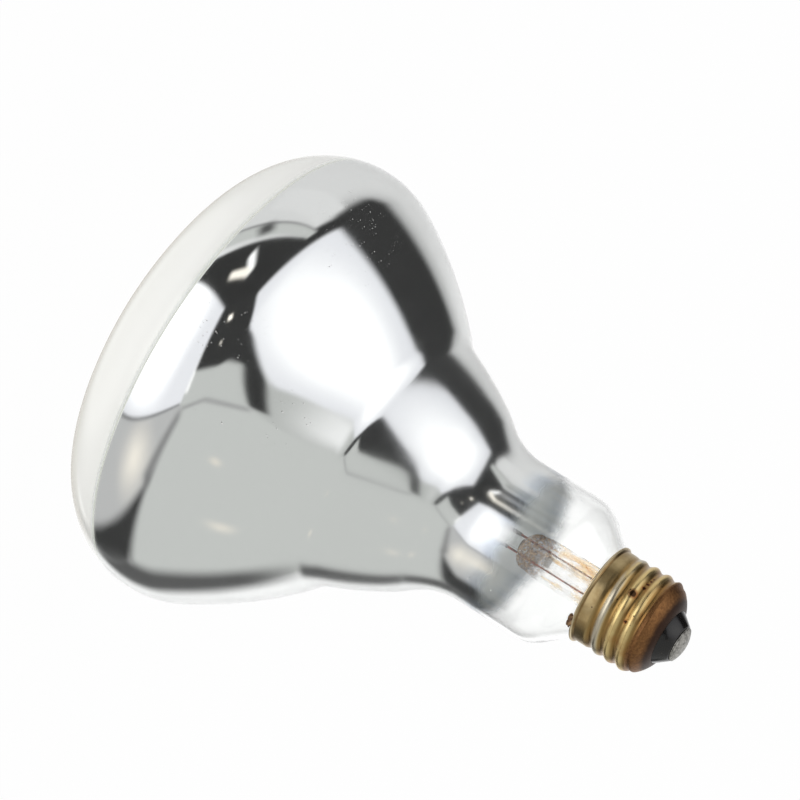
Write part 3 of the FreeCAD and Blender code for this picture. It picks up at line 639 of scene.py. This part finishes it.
def stained_glass():
    """Stem glass: clear, with a speckled crust on the press and amber runs above it."""
    material, place = new_finish("stained_stem_glass")
    height = place.axis("Z")
    crust_zone = height.rise((PRESS_BASE + 1.5) * MM, (PRESS_BASE - 2.0) * MM)
    crust = (place.noise(1100.0, 4.0, 0.75).rise(0.38, 0.6) * 0.65 + 0.12) * crust_zone
    runs = place.node("ShaderNodeMapping", {}, {"Vector": place, "Scale": (1.0, 1.0, 0.35)})
    stain_zone = height.rise((PRESS_BASE - 1.0) * MM, TUBE_START * MM)
    stain = runs.noise(300.0, 3.0).rise(0.54, 0.68) * stain_zone
    tint = place.noise(700.0, 2.0).rise(0.35, 0.65).blend(paint(248, 208, 138), paint(218, 158, 90))
    speckle = place.noise(1500.0, 3.0, 0.7).rise(0.4, 0.6)
    amber = place.node("ShaderNodeBsdfPrincipled", {}, {
        "Base Color": tint, "Roughness": 0.45, "IOR": 1.05, "Transmission Weight": 1.0,
    })
    scale = place.node("ShaderNodeBsdfPrincipled", {}, {
        "Base Color": speckle.blend(paint(124, 82, 42), paint(202, 166, 114)), "Roughness": 0.8,
    })
    runs_on_glass = layered(stain * 0.8, thin_glass(place), amber)
    return close_finish(material, layered(crust, runs_on_glass, scale))


def hazy_tube_glass():
    """Exhaust tube: thin glass with a faint amber breath on it."""
    material, place = new_finish("exhaust_tube_glass")
    breath = place.noise(240.0, 3.0).rise(0.5, 0.75) * 0.12
    film = place.node("ShaderNodeBsdfPrincipled", {}, {"Base Color": paint(236, 214, 178), "Roughness": 0.7})
    return close_finish(material, layered(breath, thin_glass(place), film))


# %% Stem and exhaust tube
piece("stem_tube", stem_points(), "stem", [stained_glass()])

EXHAUST_R = 2.25
EXHAUST_BORE = 1.45
EXHAUST_OUTLINE = [
    # Radius and height in millimetres: the outside up to the closed tip, then the bore back down.
    (EXHAUST_BORE, PRESS_BASE), (EXHAUST_R, PRESS_BASE), (EXHAUST_R, SEAL_END - 0.1),
    (0.9, SEAL_END + 1.6), (0.5, SEAL_END + 2.1), (0.0, SEAL_END + 2.1),
    (0.0, SEAL_END + 1.3), (0.4, SEAL_END + 1.2), (EXHAUST_BORE, SEAL_END - 0.6), (EXHAUST_BORE, PRESS_BASE),
]
piece(
    "exhaust_tube_glass", lathe(*np.array(EXHAUST_OUTLINE).T, 64),
    "exhaust_tube", [hazy_tube_glass()],
)


# %% [markdown]
# ## Wires and filament
#
# The wires already have their true routes in the solid model, so they only need a finish. The filament does
# not: a coil that carries this much heat is tungsten wire wound into a tight helix, bent into half a ring.

# %% Wire finishes
def drawn_wire(name, bright, dull, scale):
    """Drawn metal that has gone dull in patches."""
    material, place = new_finish(name)
    patch = place.noise(scale, 4.0).rise(0.4, 0.62)
    shader = place.node("ShaderNodeBsdfPrincipled", {}, {
        "Base Color": patch.blend(bright, dull),
        "Metallic": 1 - patch * 0.4,
        "Roughness": patch * 0.35 + 0.25,
    })
    return close_finish(material, shader)


COPPER = drawn_wire("oxidised_copper", paint(196, 110, 84), paint(104, 62, 48), 900.0)
NICKEL = drawn_wire("nickel_wire", paint(190, 188, 182), paint(120, 116, 110), 700.0)
TUNGSTEN = drawn_wire("coiled_tungsten", paint(120, 118, 116), paint(62, 60, 62), 1500.0)


# %% Pieces that keep their solid's shape
KEPT_SHAPES = [
    (COPPER, ["seal_wire_side", "seal_wire_centre", "outer_lead_side", "outer_lead_centre"]),
    (NICKEL, ["inner_lead_side", "inner_lead_centre", "support_wire_1", "support_wire_2", "support_wire_3"]),
    (CLEAR_GLASS, ["arbor"]),
]


def dress(node, finish):
    """Gives a piece of the solid model a finish."""
    thing = bpy.data.objects[node]
    thing.data.materials.clear()
    thing.data.materials.append(finish)
    print(f"{node}: dressed in {finish.name}")


for finish, nodes in KEPT_SHAPES:
    for node in nodes:
        dress(node, finish)


# %% Filament coil
COIL_RING = 13.0
COIL_R = 0.33
COIL_WIRE = 0.1
COIL_TURNS = 58
COIL_LEVEL = PRESS_END - 32.0
COIL_END = 0.04
STEPS_PER_TURN = 12
COIL_SIDES = 8


def coil_points():
    """Tube along a helix whose axis is half a ring.

    The helix is the ring's point + coil radius * (outward * cos + up * sin of the winding angle).
    """
    share = np.linspace(0.0, 1.0, COIL_TURNS * STEPS_PER_TURN)
    bend = COIL_END + share * (math.pi - 2 * COIL_END)
    wind = share * COIL_TURNS * 2 * math.pi
    out = np.stack([np.cos(bend), np.sin(bend), np.zeros_like(bend)], axis=-1)
    up = np.array([0.0, 0.0, 1.0])
    path = out * COIL_RING + np.array([0.0, 0.0, COIL_LEVEL])
    path = path + COIL_R * (out * np.cos(wind)[:, None] + up * np.sin(wind)[:, None])
    along = np.gradient(path, axis=0)
    along /= np.linalg.norm(along, axis=1, keepdims=True)
    side = np.cross(along, out)
    side /= np.linalg.norm(side, axis=1, keepdims=True)
    other = np.cross(along, side)
    turn = around(COIL_SIDES)
    ring = side[:, None] * np.cos(turn)[None, :, None] + other[:, None] * np.sin(turn)[None, :, None]
    rows = path[:, None] + COIL_WIRE * ring
    ends = [np.repeat(path[i][None, None], COIL_SIDES, axis=1) for i in (0, -1)]
    return np.concatenate([ends[0], rows, ends[1]])


piece("filament_coil", coil_points(), "filament", [TUNGSTEN])


# %% [markdown]
# ## The screw shell
#
# The shell is thin brass rolled into a right-hand knuckle thread. Its radius is a function of angle and
# height: a blank with a lip, a skirt and a rounded nose, less a wave that climbs one pitch per turn and fades
# in after the skirt. The inside is the same surface, set in by the thickness of the brass.

# %% Shell sizes, in millimetres
THREAD_R = 13.1
SKIRT_R = 12.75
LIP_R = 13.4
THREAD_DEPTH = 0.75
THREAD_PITCH = 3.629
THREAD_START = RIM_Z + 3.5
NOSE_START = THREAD_START + 12.3
NOSE_EDGE = SHELL_HIGH[2] / MM
NOSE_OPEN_R = 7.5
NOSE_R = 12.4
NOSE_FOOT = NOSE_START + 1.0
NOSE_POWER = 1.35
SHELL_WALL = 0.3
CREST_AT = -19.85
CREST_ANGLE = math.radians(230.0)
SHELL_ROWS = 300
SHELL_COLUMNS = 160
print(f"thread from {THREAD_START:.1f} to {NOSE_START:.1f} mm")


# %% Shell surface
def shell_blank():
    """Outline of the shell before it is threaded, in even steps.

    Its nose is a quarter of a fat diamond: x^p + y^p = 1, where p is the nose's power.
    """
    share = np.sin(np.linspace(0.0, math.pi / 2, 60))
    nose_r = NOSE_OPEN_R + (NOSE_R - NOSE_OPEN_R) * (1 - share**NOSE_POWER) ** (1 / NOSE_POWER)
    nose_z = NOSE_FOOT + (NOSE_EDGE - NOSE_FOOT) * share
    body = [
        (LIP_R - 0.28, RIM_Z), (LIP_R, RIM_Z + 0.12), (LIP_R, RIM_Z + 0.4), (LIP_R - 0.35, RIM_Z + 0.6),
        (SKIRT_R, RIM_Z + 1.1), (SKIRT_R, THREAD_START), (THREAD_R, THREAD_START + 4.5),
        (THREAD_R, NOSE_START + 0.1),
    ]
    body_r, body_z = np.array(body).T
    return spaced(np.append(body_r, nose_r), np.append(body_z, nose_z), SHELL_ROWS)


def shell_points():
    """Radius = blank - depth * fade * (1 - cos(2 pi climb)) / 2, where climb counts pitches past a crest."""
    r, z = shell_blank()
    turn = around(SHELL_COLUMNS)[None, :]
    climb = (z[:, None] - CREST_AT) / THREAD_PITCH - (turn - CREST_ANGLE) / (2 * math.pi)
    groove = 0.5 - 0.5 * np.cos(2 * math.pi * climb)
    fade = ramp(z, THREAD_START - 0.8, THREAD_START + 3.0) * (1 - ramp(z, NOSE_START + 0.5, NOSE_START + 2.2))
    outside = r[:, None] - THREAD_DEPTH * fade[:, None] * groove
    height = np.broadcast_to(z[:, None], outside.shape)
    slope = np.gradient(z), np.gradient(r)
    length = np.hypot(*slope)
    inside = outside - SHELL_WALL * (slope[0] / length)[:, None]
    inside_z = height + SHELL_WALL * (slope[1] / length)[:, None]
    rr = np.concatenate([outside, inside[::-1]])
    zz = np.concatenate([height, inside_z[::-1]])
    return np.stack([rr * np.cos(turn), rr * np.sin(turn), zz], axis=-1)


# %% [markdown]
# ## Aged brass
#
# Tarnish follows use and heat: heat browns the nose, and the thread is painted paler gold on its crests and
# darker in its grooves, as painted highlight and shade. So the finish asks where a point is, by its height
# above the rim, its angle and its radius, and lays one colour over another. Each function below adds one kind
# of wear, or of painted light and shade, to the colour that it is given.

# %% Where a point of the brass is
PITCH_PER_RADIAN = THREAD_PITCH * MM / (2 * math.pi)
WORN_ANGLE = math.radians(-40.0)


def brass_place(place):
    """Height above the rim, angle around the axis and distance from it, as wires."""
    x, y = place.axis("X"), place.axis("Y")
    square = x * x + y * y
    return place.axis("Z") - RIM_Z * MM, y.math("ARCTAN2", y, x), square.math("SQRT", square)


# %% Skirt and thread
def skirt_and_thread(above, radius, cloud):
    """Tan skirt with a painted highlight on its lip and a painted shadow line over it.

    The thread is gold, with a painted highlight on its crests and darker towards its grooves.
    """
    skirt = cloud.rise(0.35, 0.65).blend(paint(178, 158, 117), paint(152, 130, 90))
    # painted highlight: the thread is paler gold on its crests and darker towards its grooves
    crest_highlight = radius.rise(12.45 * MM, 13.05 * MM)
    thread = crest_highlight.blend(paint(150, 120, 72), paint(222, 197, 138))
    colour = above.rise(3.0 * MM, 5.0 * MM).blend(skirt, thread)
    # painted highlight: a pale band along the lip
    lip_highlight = above.rise(0.75 * MM, 0.35 * MM)
    colour = lip_highlight.blend(colour, paint(206, 190, 158))
    # painted shadow: a dark line in the step just above the lip
    shadow_line = above.rise(0.6 * MM, 0.9 * MM) * above.rise(1.4 * MM, 1.0 * MM)
    return (shadow_line * 0.6).blend(colour, paint(112, 80, 44))


def thread_wear(place, above, turn, colour):
    """Fine dark lines along the thread, a silver flank worn on one side, and brown patches of heat."""
    winding = above * (1 / PITCH_PER_RADIAN) - turn
    along_thread = place.node("ShaderNodeCombineXYZ", {}, {
        0: winding.math("COSINE", winding), 1: winding.math("SINE", winding), 2: above * 60.0,
    })
    marks = along_thread.noise(7.0, 5.0, 0.6).rise(0.53, 0.66) * above.rise(2.0 * MM, 4.5 * MM)
    colour = (marks * 0.45).blend(colour, paint(112, 82, 44))
    facing = turn - WORN_ANGLE
    flank = above - facing * PITCH_PER_RADIAN
    worn = flank.rise(5.1 * MM, 6.0 * MM) * flank.rise(7.5 * MM, 6.8 * MM)
    worn = worn * (facing * facing).rise(5.0, 2.5) * place.noise(110.0, 2.0).rise(0.28, 0.5)
    colour = (worn * 0.9).blend(colour, paint(192, 185, 168))
    heat = place.noise(150.0, 3.0).rise(0.42, 0.68) * above.rise(6.5 * MM, 11.5 * MM)
    return (heat * 0.6).blend(colour, paint(152, 100, 50))


# %% Nose and burnt spots
SPOTS = [
    # Angle in degrees, height above the rim and radius in millimetres.
    (-61.0, 10.2, 0.85),
    (-75.0, 11.45, 0.4),
    (-82.5, 11.55, 0.35),
    (-89.0, 11.65, 0.3),
    (-95.0, 11.75, 0.25),
    (-30.0, 12.4, 0.4),
]


def nose_tarnish(place, radius, cloud, nose, colour):
    """Mottled copper-brown over the nose, sooty towards the insulator."""
    tarnish = (nose + cloud * 0.5 - 0.25).rise(0.2, 0.8)
    soot = radius.rise(11.6 * MM, 8.6 * MM)
    mottle = place.noise(1500.0, 4.0, 0.7)
    brown = mottle.rise(0.3, 0.7).blend(paint(142, 102, 64), paint(110, 76, 48))
    copper = (soot + cloud * 0.8 - 0.4).rise(0.0, 0.85).blend(brown, paint(54, 38, 30))
    return tarnish.blend(colour, copper)


def burnt_spots(place, above, turn, fine, colour):
    """Dark cores in brown rings: the spots of the list, and small ones anywhere."""
    scorch = place.speck(300.0, 0.16, 0.06)
    core = place.speck(700.0, 0.22, 0.06)
    for angle, spot_height, size in SPOTS:
        across = (turn - math.radians(angle)) * (THREAD_R * MM)
        along = above - spot_height * MM
        square = across * across + along * along
        away = square.math("POWER", square, 0.5) + (fine - 0.5) * (0.6 * MM)
        scorch = scorch + away.rise(size * 2.0 * MM, size * 0.9 * MM)
        core = core + away.rise(size * 1.1 * MM, size * 0.8 * MM)
    colour = scorch.math("MINIMUM", scorch, 0.75).blend(colour, paint(128, 78, 44))
    return core.math("MINIMUM", core, 0.92).blend(colour, paint(44, 28, 20))


# %% Brass finish and the shell
def aged_brass():
    """The colours laid over each other, with grime in fine grains and a rougher nose."""
    material, place = new_finish("aged_brass")
    above, turn, radius = brass_place(place)
    cloud = place.noise(260.0, 4.0)
    fine = place.noise(1700.0, 3.0, 0.65)
    nose = above.rise((NOSE_START - RIM_Z - 1.4) * MM, (NOSE_START - RIM_Z + 1.3) * MM)
    colour = skirt_and_thread(above, radius, cloud)
    colour = thread_wear(place, above, turn, colour)
    colour = nose_tarnish(place, radius, cloud, nose, colour)
    colour = burnt_spots(place, above, turn, fine, colour)
    grime = fine.rise(0.6, 0.8) * 0.3
    shader = place.node("ShaderNodeBsdfPrincipled", {}, {
        "Base Color": grime.blend(colour, paint(104, 78, 46)),
        "Metallic": 1 - grime * 0.5,
        "Roughness": cloud * 0.14 + fine * 0.06 + nose * 0.14 + 0.22,
        "Normal": bumped(place, fine, 0.00001, 0.4),
    })
    return close_finish(material, shader)


piece("screw_shell", shell_points(), "base_shell", [aged_brass()], loop=True)


# %% [markdown]
# ## Insulator, contact, cement and solder
#
# A cone of black glass holds the centre contact away from the shell. The solder on the contact has been
# pressed and scraped by many lampholders, so its dome is flattened and scored. At the rim, brown cement
# fills the gap between brass and glass, and a blob of burnt flux and solder ties down the side lead.

# %% Ripples for rough lumps
def ripple(turn, up, seed):
    """Smooth roughness between about -1 and 1: a few sines of angle and height with seeded phases."""
    draw = np.random.default_rng(seed)
    total = np.zeros(np.broadcast(turn, up).shape)
    for waves in range(1, 7):
        total += np.sin(waves * turn + draw.uniform(-3, 3) * up + draw.uniform(0, 6.3)) / waves**0.7
    return total / 3


# %% Black insulator
def black_glass():
    """Black moulded glass, glossy with a soft haze and a few scuffs."""
    material, place = new_finish("black_insulator_glass")
    scuff = place.noise(1400.0, 4.0, 0.7).rise(0.6, 0.75)
    shader = place.node("ShaderNodeBsdfPrincipled", {}, {
        "Base Color": scuff.blend(paint(16, 14, 14), paint(58, 50, 46)),
        "Roughness": scuff * 0.25 + place.noise(300.0) * 0.1 + 0.14,
        "Normal": bumped(place, place.noise(500.0), 0.0001, 0.25),
    })
    return close_finish(material, shader)


CONE_OUTLINE = [
    # Radius and height in millimetres, around the section.
    (1.0, -1.7), (1.0, -8.4), (6.9, -8.4), (7.35, -6.2), (7.5, -5.2),
    (7.45, -4.75), (5.25, -2.0), (5.0, -1.7), (4.75, -1.6), (1.0, -1.6),
]
piece(
    "insulator_cone", lathe(*np.array(CONE_OUTLINE).T, 128), "base_insulator",
    [black_glass()], loop=True,
)


# %% Centre contact and its solder
def scraped_solder():
    """Dull grey solder: mottled, scored and darker in its pits."""
    material, place = new_finish("scraped_solder")
    mottle = place.noise(900.0, 5.0, 0.7)
    pits = place.speck(1100.0, 0.3, 0.25)
    colour = mottle.rise(0.3, 0.7).blend(paint(92, 90, 86), paint(176, 174, 168))
    shader = place.node("ShaderNodeBsdfPrincipled", {}, {
        "Base Color": pits.blend(colour, paint(70, 66, 60)),
        "Metallic": 0.9 - pits * 0.5,
        "Roughness": mottle * 0.25 + 0.3,
        "Normal": bumped(place, mottle - pits * 0.4, 0.0002, 0.7),
    })
    return close_finish(material, shader)


SOLDER = scraped_solder()
EYELET_OUTLINE = [
    # Radius and height in millimetres, around the section.
    (0.4, -1.15), (0.4, -4.6), (1.0, -4.6), (1.0, -1.62), (4.5, -1.62),
    (4.68, -1.55), (4.7, -1.35), (4.6, -1.15), (4.4, -1.1), (0.4, -1.1),
]
piece(
    "contact_eyelet", lathe(*np.array(EYELET_OUTLINE).T, 96), "centre_contact",
    [SOLDER], loop=True,
)


# %% Solder on the tip
TIP_R = 4.6
TIP_HEIGHT = 1.1
TIP_POWER = 2.6
TIP_UNDER = -1.12
TIP_COLUMNS = 96
EDGE_ROUGHNESS = 0.015
DENT_DEPTH = 0.05


def tip_points():
    """Low dome, z = -height * (r / edge)^power, with ripples that grow off the centre."""
    share = np.sin(np.linspace(0, math.pi / 2, 40))
    turn = around(TIP_COLUMNS)[None, :]
    r = (TIP_R * share)[:, None] * (1 + EDGE_ROUGHNESS * ripple(turn, 0.0, 3) * share[:, None])
    dents = (ripple(turn, 2 * share[:, None], 5) - 1) * (share * (1 - share**4))[:, None]
    z = (-TIP_HEIGHT * share**TIP_POWER)[:, None] + DENT_DEPTH * dents
    r = np.concatenate([r, np.zeros((1, TIP_COLUMNS))])
    z = np.concatenate([z, np.full((1, TIP_COLUMNS), TIP_UNDER)])
    return np.stack([r * np.cos(turn), r * np.sin(turn), z], axis=-1)


piece("tip_solder_dome", tip_points(), "tip_solder", [SOLDER])


# %% Cement
def burnt_cement():
    """Baked brown cement, crumbly and uneven."""
    material, place = new_finish("basing_cement")
    crumb = place.noise(1200.0, 4.0, 0.7)
    shader = place.node("ShaderNodeBsdfPrincipled", {}, {
        "Base Color": crumb.rise(0.3, 0.7).blend(paint(66, 46, 28), paint(134, 104, 70)),
        "Roughness": 0.85,
        "Normal": bumped(place, crumb, 0.0002, 0.8),
    })
    return close_finish(material, shader)


dress("basing_cement", burnt_cement())


# %% Side solder
def burnt_flux():
    """Solder under brown burnt flux."""
    material, place = new_finish("burnt_flux_solder")
    burn = place.noise(1000.0, 4.0, 0.65).rise(0.38, 0.6)
    shader = place.node("ShaderNodeBsdfPrincipled", {}, {
        "Base Color": burn.blend(paint(176, 140, 100), paint(92, 62, 40)),
        "Metallic": 0.5 - burn * 0.4,
        "Roughness": burn * 0.3 + 0.35,
        "Normal": bumped(place, burn, 0.0002, 0.6),
    })
    return close_finish(material, shader)


LUMP_CENTRE = np.array([LIP_R - 0.35, 0.9, RIM_Z - 0.35])
LUMP_RADII = np.array([0.85, 2.1, 0.9])
LUMP_SEED = 11
LUMP_ROUGHNESS = 0.16
PINCH_DEPTH = 0.3
PINCH_WIDTH = 0.3


def lump_points():
    """Two rough balls run together.

    Each point is centre + radii * direction * (1 + a ripple, less a pinch round the middle).
    """
    tilt = np.linspace(0, math.pi, 28)[:, None]
    turn = around(40)[None, :]
    across, up = np.sin(tilt), np.cos(tilt) + 0 * turn
    pinch = PINCH_DEPTH * np.exp(-((across * np.sin(turn) / PINCH_WIDTH) ** 2))
    swell = 1 + LUMP_ROUGHNESS * ripple(turn, 3 * tilt, LUMP_SEED) * across - pinch
    ball = np.stack([across * np.cos(turn), across * np.sin(turn), up], axis=-1)
    return LUMP_CENTRE + ball * swell[..., None] * LUMP_RADII


piece("side_solder_lump", lump_points(), "side_solder", [burnt_flux()])


# %% [markdown]
# ## The studio
#
# A mirror shows its surroundings, so the room matters as much as the lamp. The photograph's room can be read
# off the film: a large softbox, a grey table, dark gaps between them and a pale wall. Cards and lamps could
# be separate objects, but they would block each other and the camera. Instead a large ball around the lamp
# carries the room as colours on its points, by direction: each panel is a few straight edges in azimuth and
# elevation, measured from the camera's own azimuth. The camera doesn't see the ball. It sees a white
# background and a white floor.

# %% Camera
CAMERA_PLACE = (0.69105, -0.59902, 0.21203)
LOOK_AZIMUTH = math.radians(140.0)
LOOK_ELEVATION = math.radians(-18.63)
CAMERA_ROLL = math.radians(121.87)
LENS = 171.64


def camera_turn():
    """Columns are the camera's right, up and backward directions: level axes turned by the roll."""
    flat = math.cos(LOOK_ELEVATION)
    forward = np.array([
        flat * math.cos(LOOK_AZIMUTH), flat * math.sin(LOOK_AZIMUTH), math.sin(LOOK_ELEVATION),
    ])
    level = np.array([math.sin(LOOK_AZIMUTH), -math.cos(LOOK_AZIMUTH), 0.0])
    upright = np.cross(level, forward)
    right = level * math.cos(CAMERA_ROLL) + upright * math.sin(CAMERA_ROLL)
    return np.stack([right, np.cross(right, forward), -forward], axis=-1)


lens = bpy.data.cameras.new("camera")
lens.lens = LENS
lens.sensor_width = 36.0
lens.clip_start = 0.01
camera = bpy.data.objects.new("camera", lens)
camera.matrix_world = Matrix.Translation(CAMERA_PLACE) @ Matrix(camera_turn().tolist()).to_4x4()
bpy.context.scene.collection.objects.link(camera)
bpy.context.scene.camera = camera
print("camera looks along", np.round(-camera_turn()[:, 2], 3))


# %% Panels of the room
PLAIN = (1.0, 1.0, 1.0)
COOL = (0.98, 0.985, 1.03)
GREEN = (0.99, 1.01, 0.985)
WARM = (1.06, 1.0, 0.9)
ROOM_LIGHT = 1.12
PANELS = {
    # Brightness, tint, softness of the edges in degrees, corners (azimuth, elevation) anticlockwise.
    "far floor right": (0.5, WARM, 8, [(142, -75), (225, -75), (225, -30), (142, -30)]),
    "far floor left": (0.5, WARM, 8, [(-225, -75), (-142, -75), (-142, -30), (-225, -30)]),
    "side wall": (0.76, PLAIN, 30, [(-162, -75), (-45, -75), (-45, 34), (-162, 34)]),
    "flag shade": (0.1, PLAIN, 26, [(-158, 14), (-118, 0), (-90, 8), (-93, 26), (-112, 50), (-158, 40)]),
    "side box": (0.8, PLAIN, 5, [(-101, -34), (-80, -33), (-80, 8), (-101, 6)]),
    "ceiling": (0.55, GREEN, 10, [(-30, 45), (45, 45), (60, 110), (-50, 110)]),
    "ceiling glow": (1.0, PLAIN, 24, [(-20, 65), (22, 62), (40, 110), (-40, 110)]),
    "grey table": (0.63, GREEN, 3, [(24, -4), (75, -8), (138, -8), (150, 110), (60, 110), (18, 47)]),
    "far sheen": (0.85, WARM, 5, [(92, 30), (96, 28.5), (101, 30.5), (97, 33)]),
    "near sheen": (0.8, WARM, 2.5, [(52, 39), (55, 37.5), (58, 39), (55, 40.5)]),
    "pale wall": (0.56, PLAIN, 4, [(27, 14), (58, -60), (150, -60), (116, -8), (55, 13), (31, 17.5)]),
    "wall glow": (1.0, WARM, 26, [(46, -16), (62, -24), (80, -12), (58, 2)]),
    "wall shade": (0.28, PLAIN, 8, [(30, 15), (68, 1), (72, 8), (33, 19)]),
    "low softbox": (0.96, COOL, 3, [(-21, 3), (-31, -60), (64, -60), (28, 13)]),
    "low heart": (2.3, PLAIN, 34, [(-20, -22), (-24, -70), (40, -70), (30, -18)]),
    "softbox seam": (0.2, PLAIN, 1.8, [(27.5, 12), (59, -55), (62, -55), (28.5, 13)]),
    "main softbox": (
        0.93, COOL, 5, [(-100, 18.5), (-32, 18.5), (-2, 50), (-14, 66), (-60, 90), (-130, 110), (-113, 38)],
    ),
    "main heart": (1.45, PLAIN, 30, [(-92, 36), (-44, 30), (-16, 50), (-30, 64), (-92, 72)]),
    "left flag": (0.045, PLAIN, 7, [(-152, 14), (-118, 1), (-92, 9), (-93, 20), (-112, 40), (-152, 26)]),
    "gap under softbox": (0.04, PLAIN, 4, [(-97, 10), (-30, 5), (-30, 18.5), (-97, 18.5)]),
    "dark stand": (0.04, PLAIN, 3, [(-73, 14), (-38, -55), (-30, -55), (-19, 3), (-30, 17)]),
    "pale strip": (0.62, GREEN, 2, [(-79, 12), (-58, -55), (-46, -55), (-72, 12)]),
    "strip line": (0.3, PLAIN, 1.5, [(-80, 12), (-61, -55), (-58, -55), (-78.5, 12)]),
    "strip knob": (0.1, PLAIN, 7, [(-71, -22), (-65, -29), (-59, -22), (-65, -15)]),
    "stand glint left": (1.3, PLAIN, 4, [(-52, -15), (-46, -15), (-37, -3), (-43, -3)]),
    "stand glint right": (1.2, WARM, 4, [(-43, -5), (-36, -19), (-32, -16), (-37, -3)]),
    "table gap": (0.05, PLAIN, 8, [(66, 9), (110, -25), (130, -33), (152, -36), (124, -8)]),
    "right flag": (0.12, PLAIN, 13, [(121, -14), (148, -34), (145, 14), (131, 21)]),
    "table edge": (0.04, PLAIN, 3, [(-22, 30), (17, 46), (17, 52), (-2, 48), (-20, 37)]),
    "table front": (0.62, GREEN, 2.5, [(8, 11), (29, 17), (18, 46), (-4, 40)]),
    "table seam": (0.42, PLAIN, 2, [(17, 47), (28.5, 16), (30.5, 17), (20, 47)]),
    "dark screen": (
        0.045, PLAIN, 3.5, [(-36, 17), (-20, 0), (11, 11), (4, 31), (-4, 40), (-18, 38), (-28, 29)],
    ),
    "bright glint": (1.6, WARM, 2, [(-20, 11), (-18, 9), (-16, 11.5), (-18, 14)]),
    "small glint": (0.8, WARM, 1.5, [(-7.5, 18.5), (-6, 17.5), (-4.8, 19), (-6, 20.5)]),
    "bright floor": (1.2, PLAIN, 12, [(-240, -110), (240, -110), (240, -56), (-240, -56)]),
}


# %% Colour of the room in a direction
def room_glow(azimuth, elevation):
    """Colour of the room in a direction: each panel covers what is behind it, by the product of its edges."""
    glow = np.full((*azimuth.shape, 3), ROOM_LIGHT)
    for brightness, tint, soft, corners in PANELS.values():
        cover = np.ones_like(azimuth)
        for (a0, e0), (a1, e1) in zip(corners, corners[1:] + corners[:1]):
            run, climb = np.array([a1 - a0, e1 - e0]) / math.hypot(a1 - a0, e1 - e0)
            inward = (elevation - e0) * run - (azimuth - a0) * climb
            cover = cover * ramp(inward, -soft / 2, soft / 2)
        glow += cover[..., None] * (brightness * np.array(tint) - glow)
    return glow


# %% Ball that carries the room
DOME_R = 4.0
DOME_CENTRE = np.array([0.0, 0.0, -0.09])
DOME_STEPS = 480


def room_dome():
    """Ball around the lamp: rows of elevation, columns of azimuth, with the glow of each direction on it."""
    elevation = np.radians(np.linspace(-90.0, 90.0, DOME_STEPS // 2 + 1))[:, None]
    azimuth = (around(DOME_STEPS) - math.pi)[None, :]
    turned = azimuth + LOOK_AZIMUTH + math.pi
    flat = np.cos(elevation)
    rise = np.sin(elevation) + 0 * azimuth
    points = np.stack([flat * np.cos(turned), flat * np.sin(turned), rise], axis=-1) * DOME_R + DOME_CENTRE
    glow = room_glow(np.degrees(azimuth + 0 * elevation), np.degrees(elevation + 0 * azimuth))
    mesh = bpy.data.meshes.new("room")
    mesh.from_pydata(points.reshape(-1, 3), [], grid_faces(*points.shape[:2], loop=False))
    colour = np.concatenate([glow, np.ones((*glow.shape[:2], 1))], axis=-1)
    mesh.attributes.new("glow", "FLOAT_COLOR", "POINT").data.foreach_set("color", colour.ravel())
    material, place = new_finish("room_glow")
    light = place.node("ShaderNodeAttribute", {"attribute_name": "glow"}, {}, output="Color")
    shine = place.node("ShaderNodeEmission", {}, {"Color": light, "Strength": 1.0})
    mesh.materials.append(close_finish(material, shine))
    material.cycles.emission_sampling = "NONE"
    room = bpy.data.objects.new("room", mesh)
    room.visible_camera = False
    bpy.context.scene.collection.objects.link(room)
    print(f"room: {len(PANELS)} panels on {len(mesh.polygons)} faces")
    print(f"room: glow from {glow.min():.2f} to {glow.max():.2f}")


room_dome()


# %% White background for the camera
world = bpy.data.worlds.new("white_background")
world.use_nodes = True
world.node_tree.nodes["Background"].inputs["Color"].default_value = (1.0, 1.0, 1.0, 1.0)
bpy.context.scene.world = world
print("background:", world.name)


# %% Floor
FLOOR_GLOW = 0.97
FLOOR_HALF = 4.0


def pale_floor():
    """White floor: its own light hides it against the background, and a little shading keeps the shadow."""
    material, place = new_finish("pale_floor")
    glow = place.node("ShaderNodeEmission", {}, {"Color": (1.0, 1.0, 1.0, 1.0), "Strength": 1.0})
    matt = place.node("ShaderNodeBsdfDiffuse", {}, {"Color": (0.95, 0.95, 0.95, 1.0)})
    return close_finish(material, layered(FLOOR_GLOW, matt, glow))


floor_level = cad_box[0][2]
corners = np.array([[-1, -1], [1, -1], [1, 1], [-1, 1]]) * FLOOR_HALF
floor_mesh = bpy.data.meshes.new("floor")
floor_mesh.from_pydata(np.column_stack([corners, np.full(4, floor_level)]), [], [(0, 1, 2, 3)])
floor_mesh.materials.append(pale_floor())
floor = bpy.data.objects.new("floor", floor_mesh)
floor.visible_diffuse = False
floor.visible_glossy = False
floor.visible_transmission = False
floor.visible_shadow = False
bpy.context.scene.collection.objects.link(floor)
print(f"floor at {floor_level / MM:.1f} mm")
bpy.context.scene.view_settings.view_transform = "Standard"
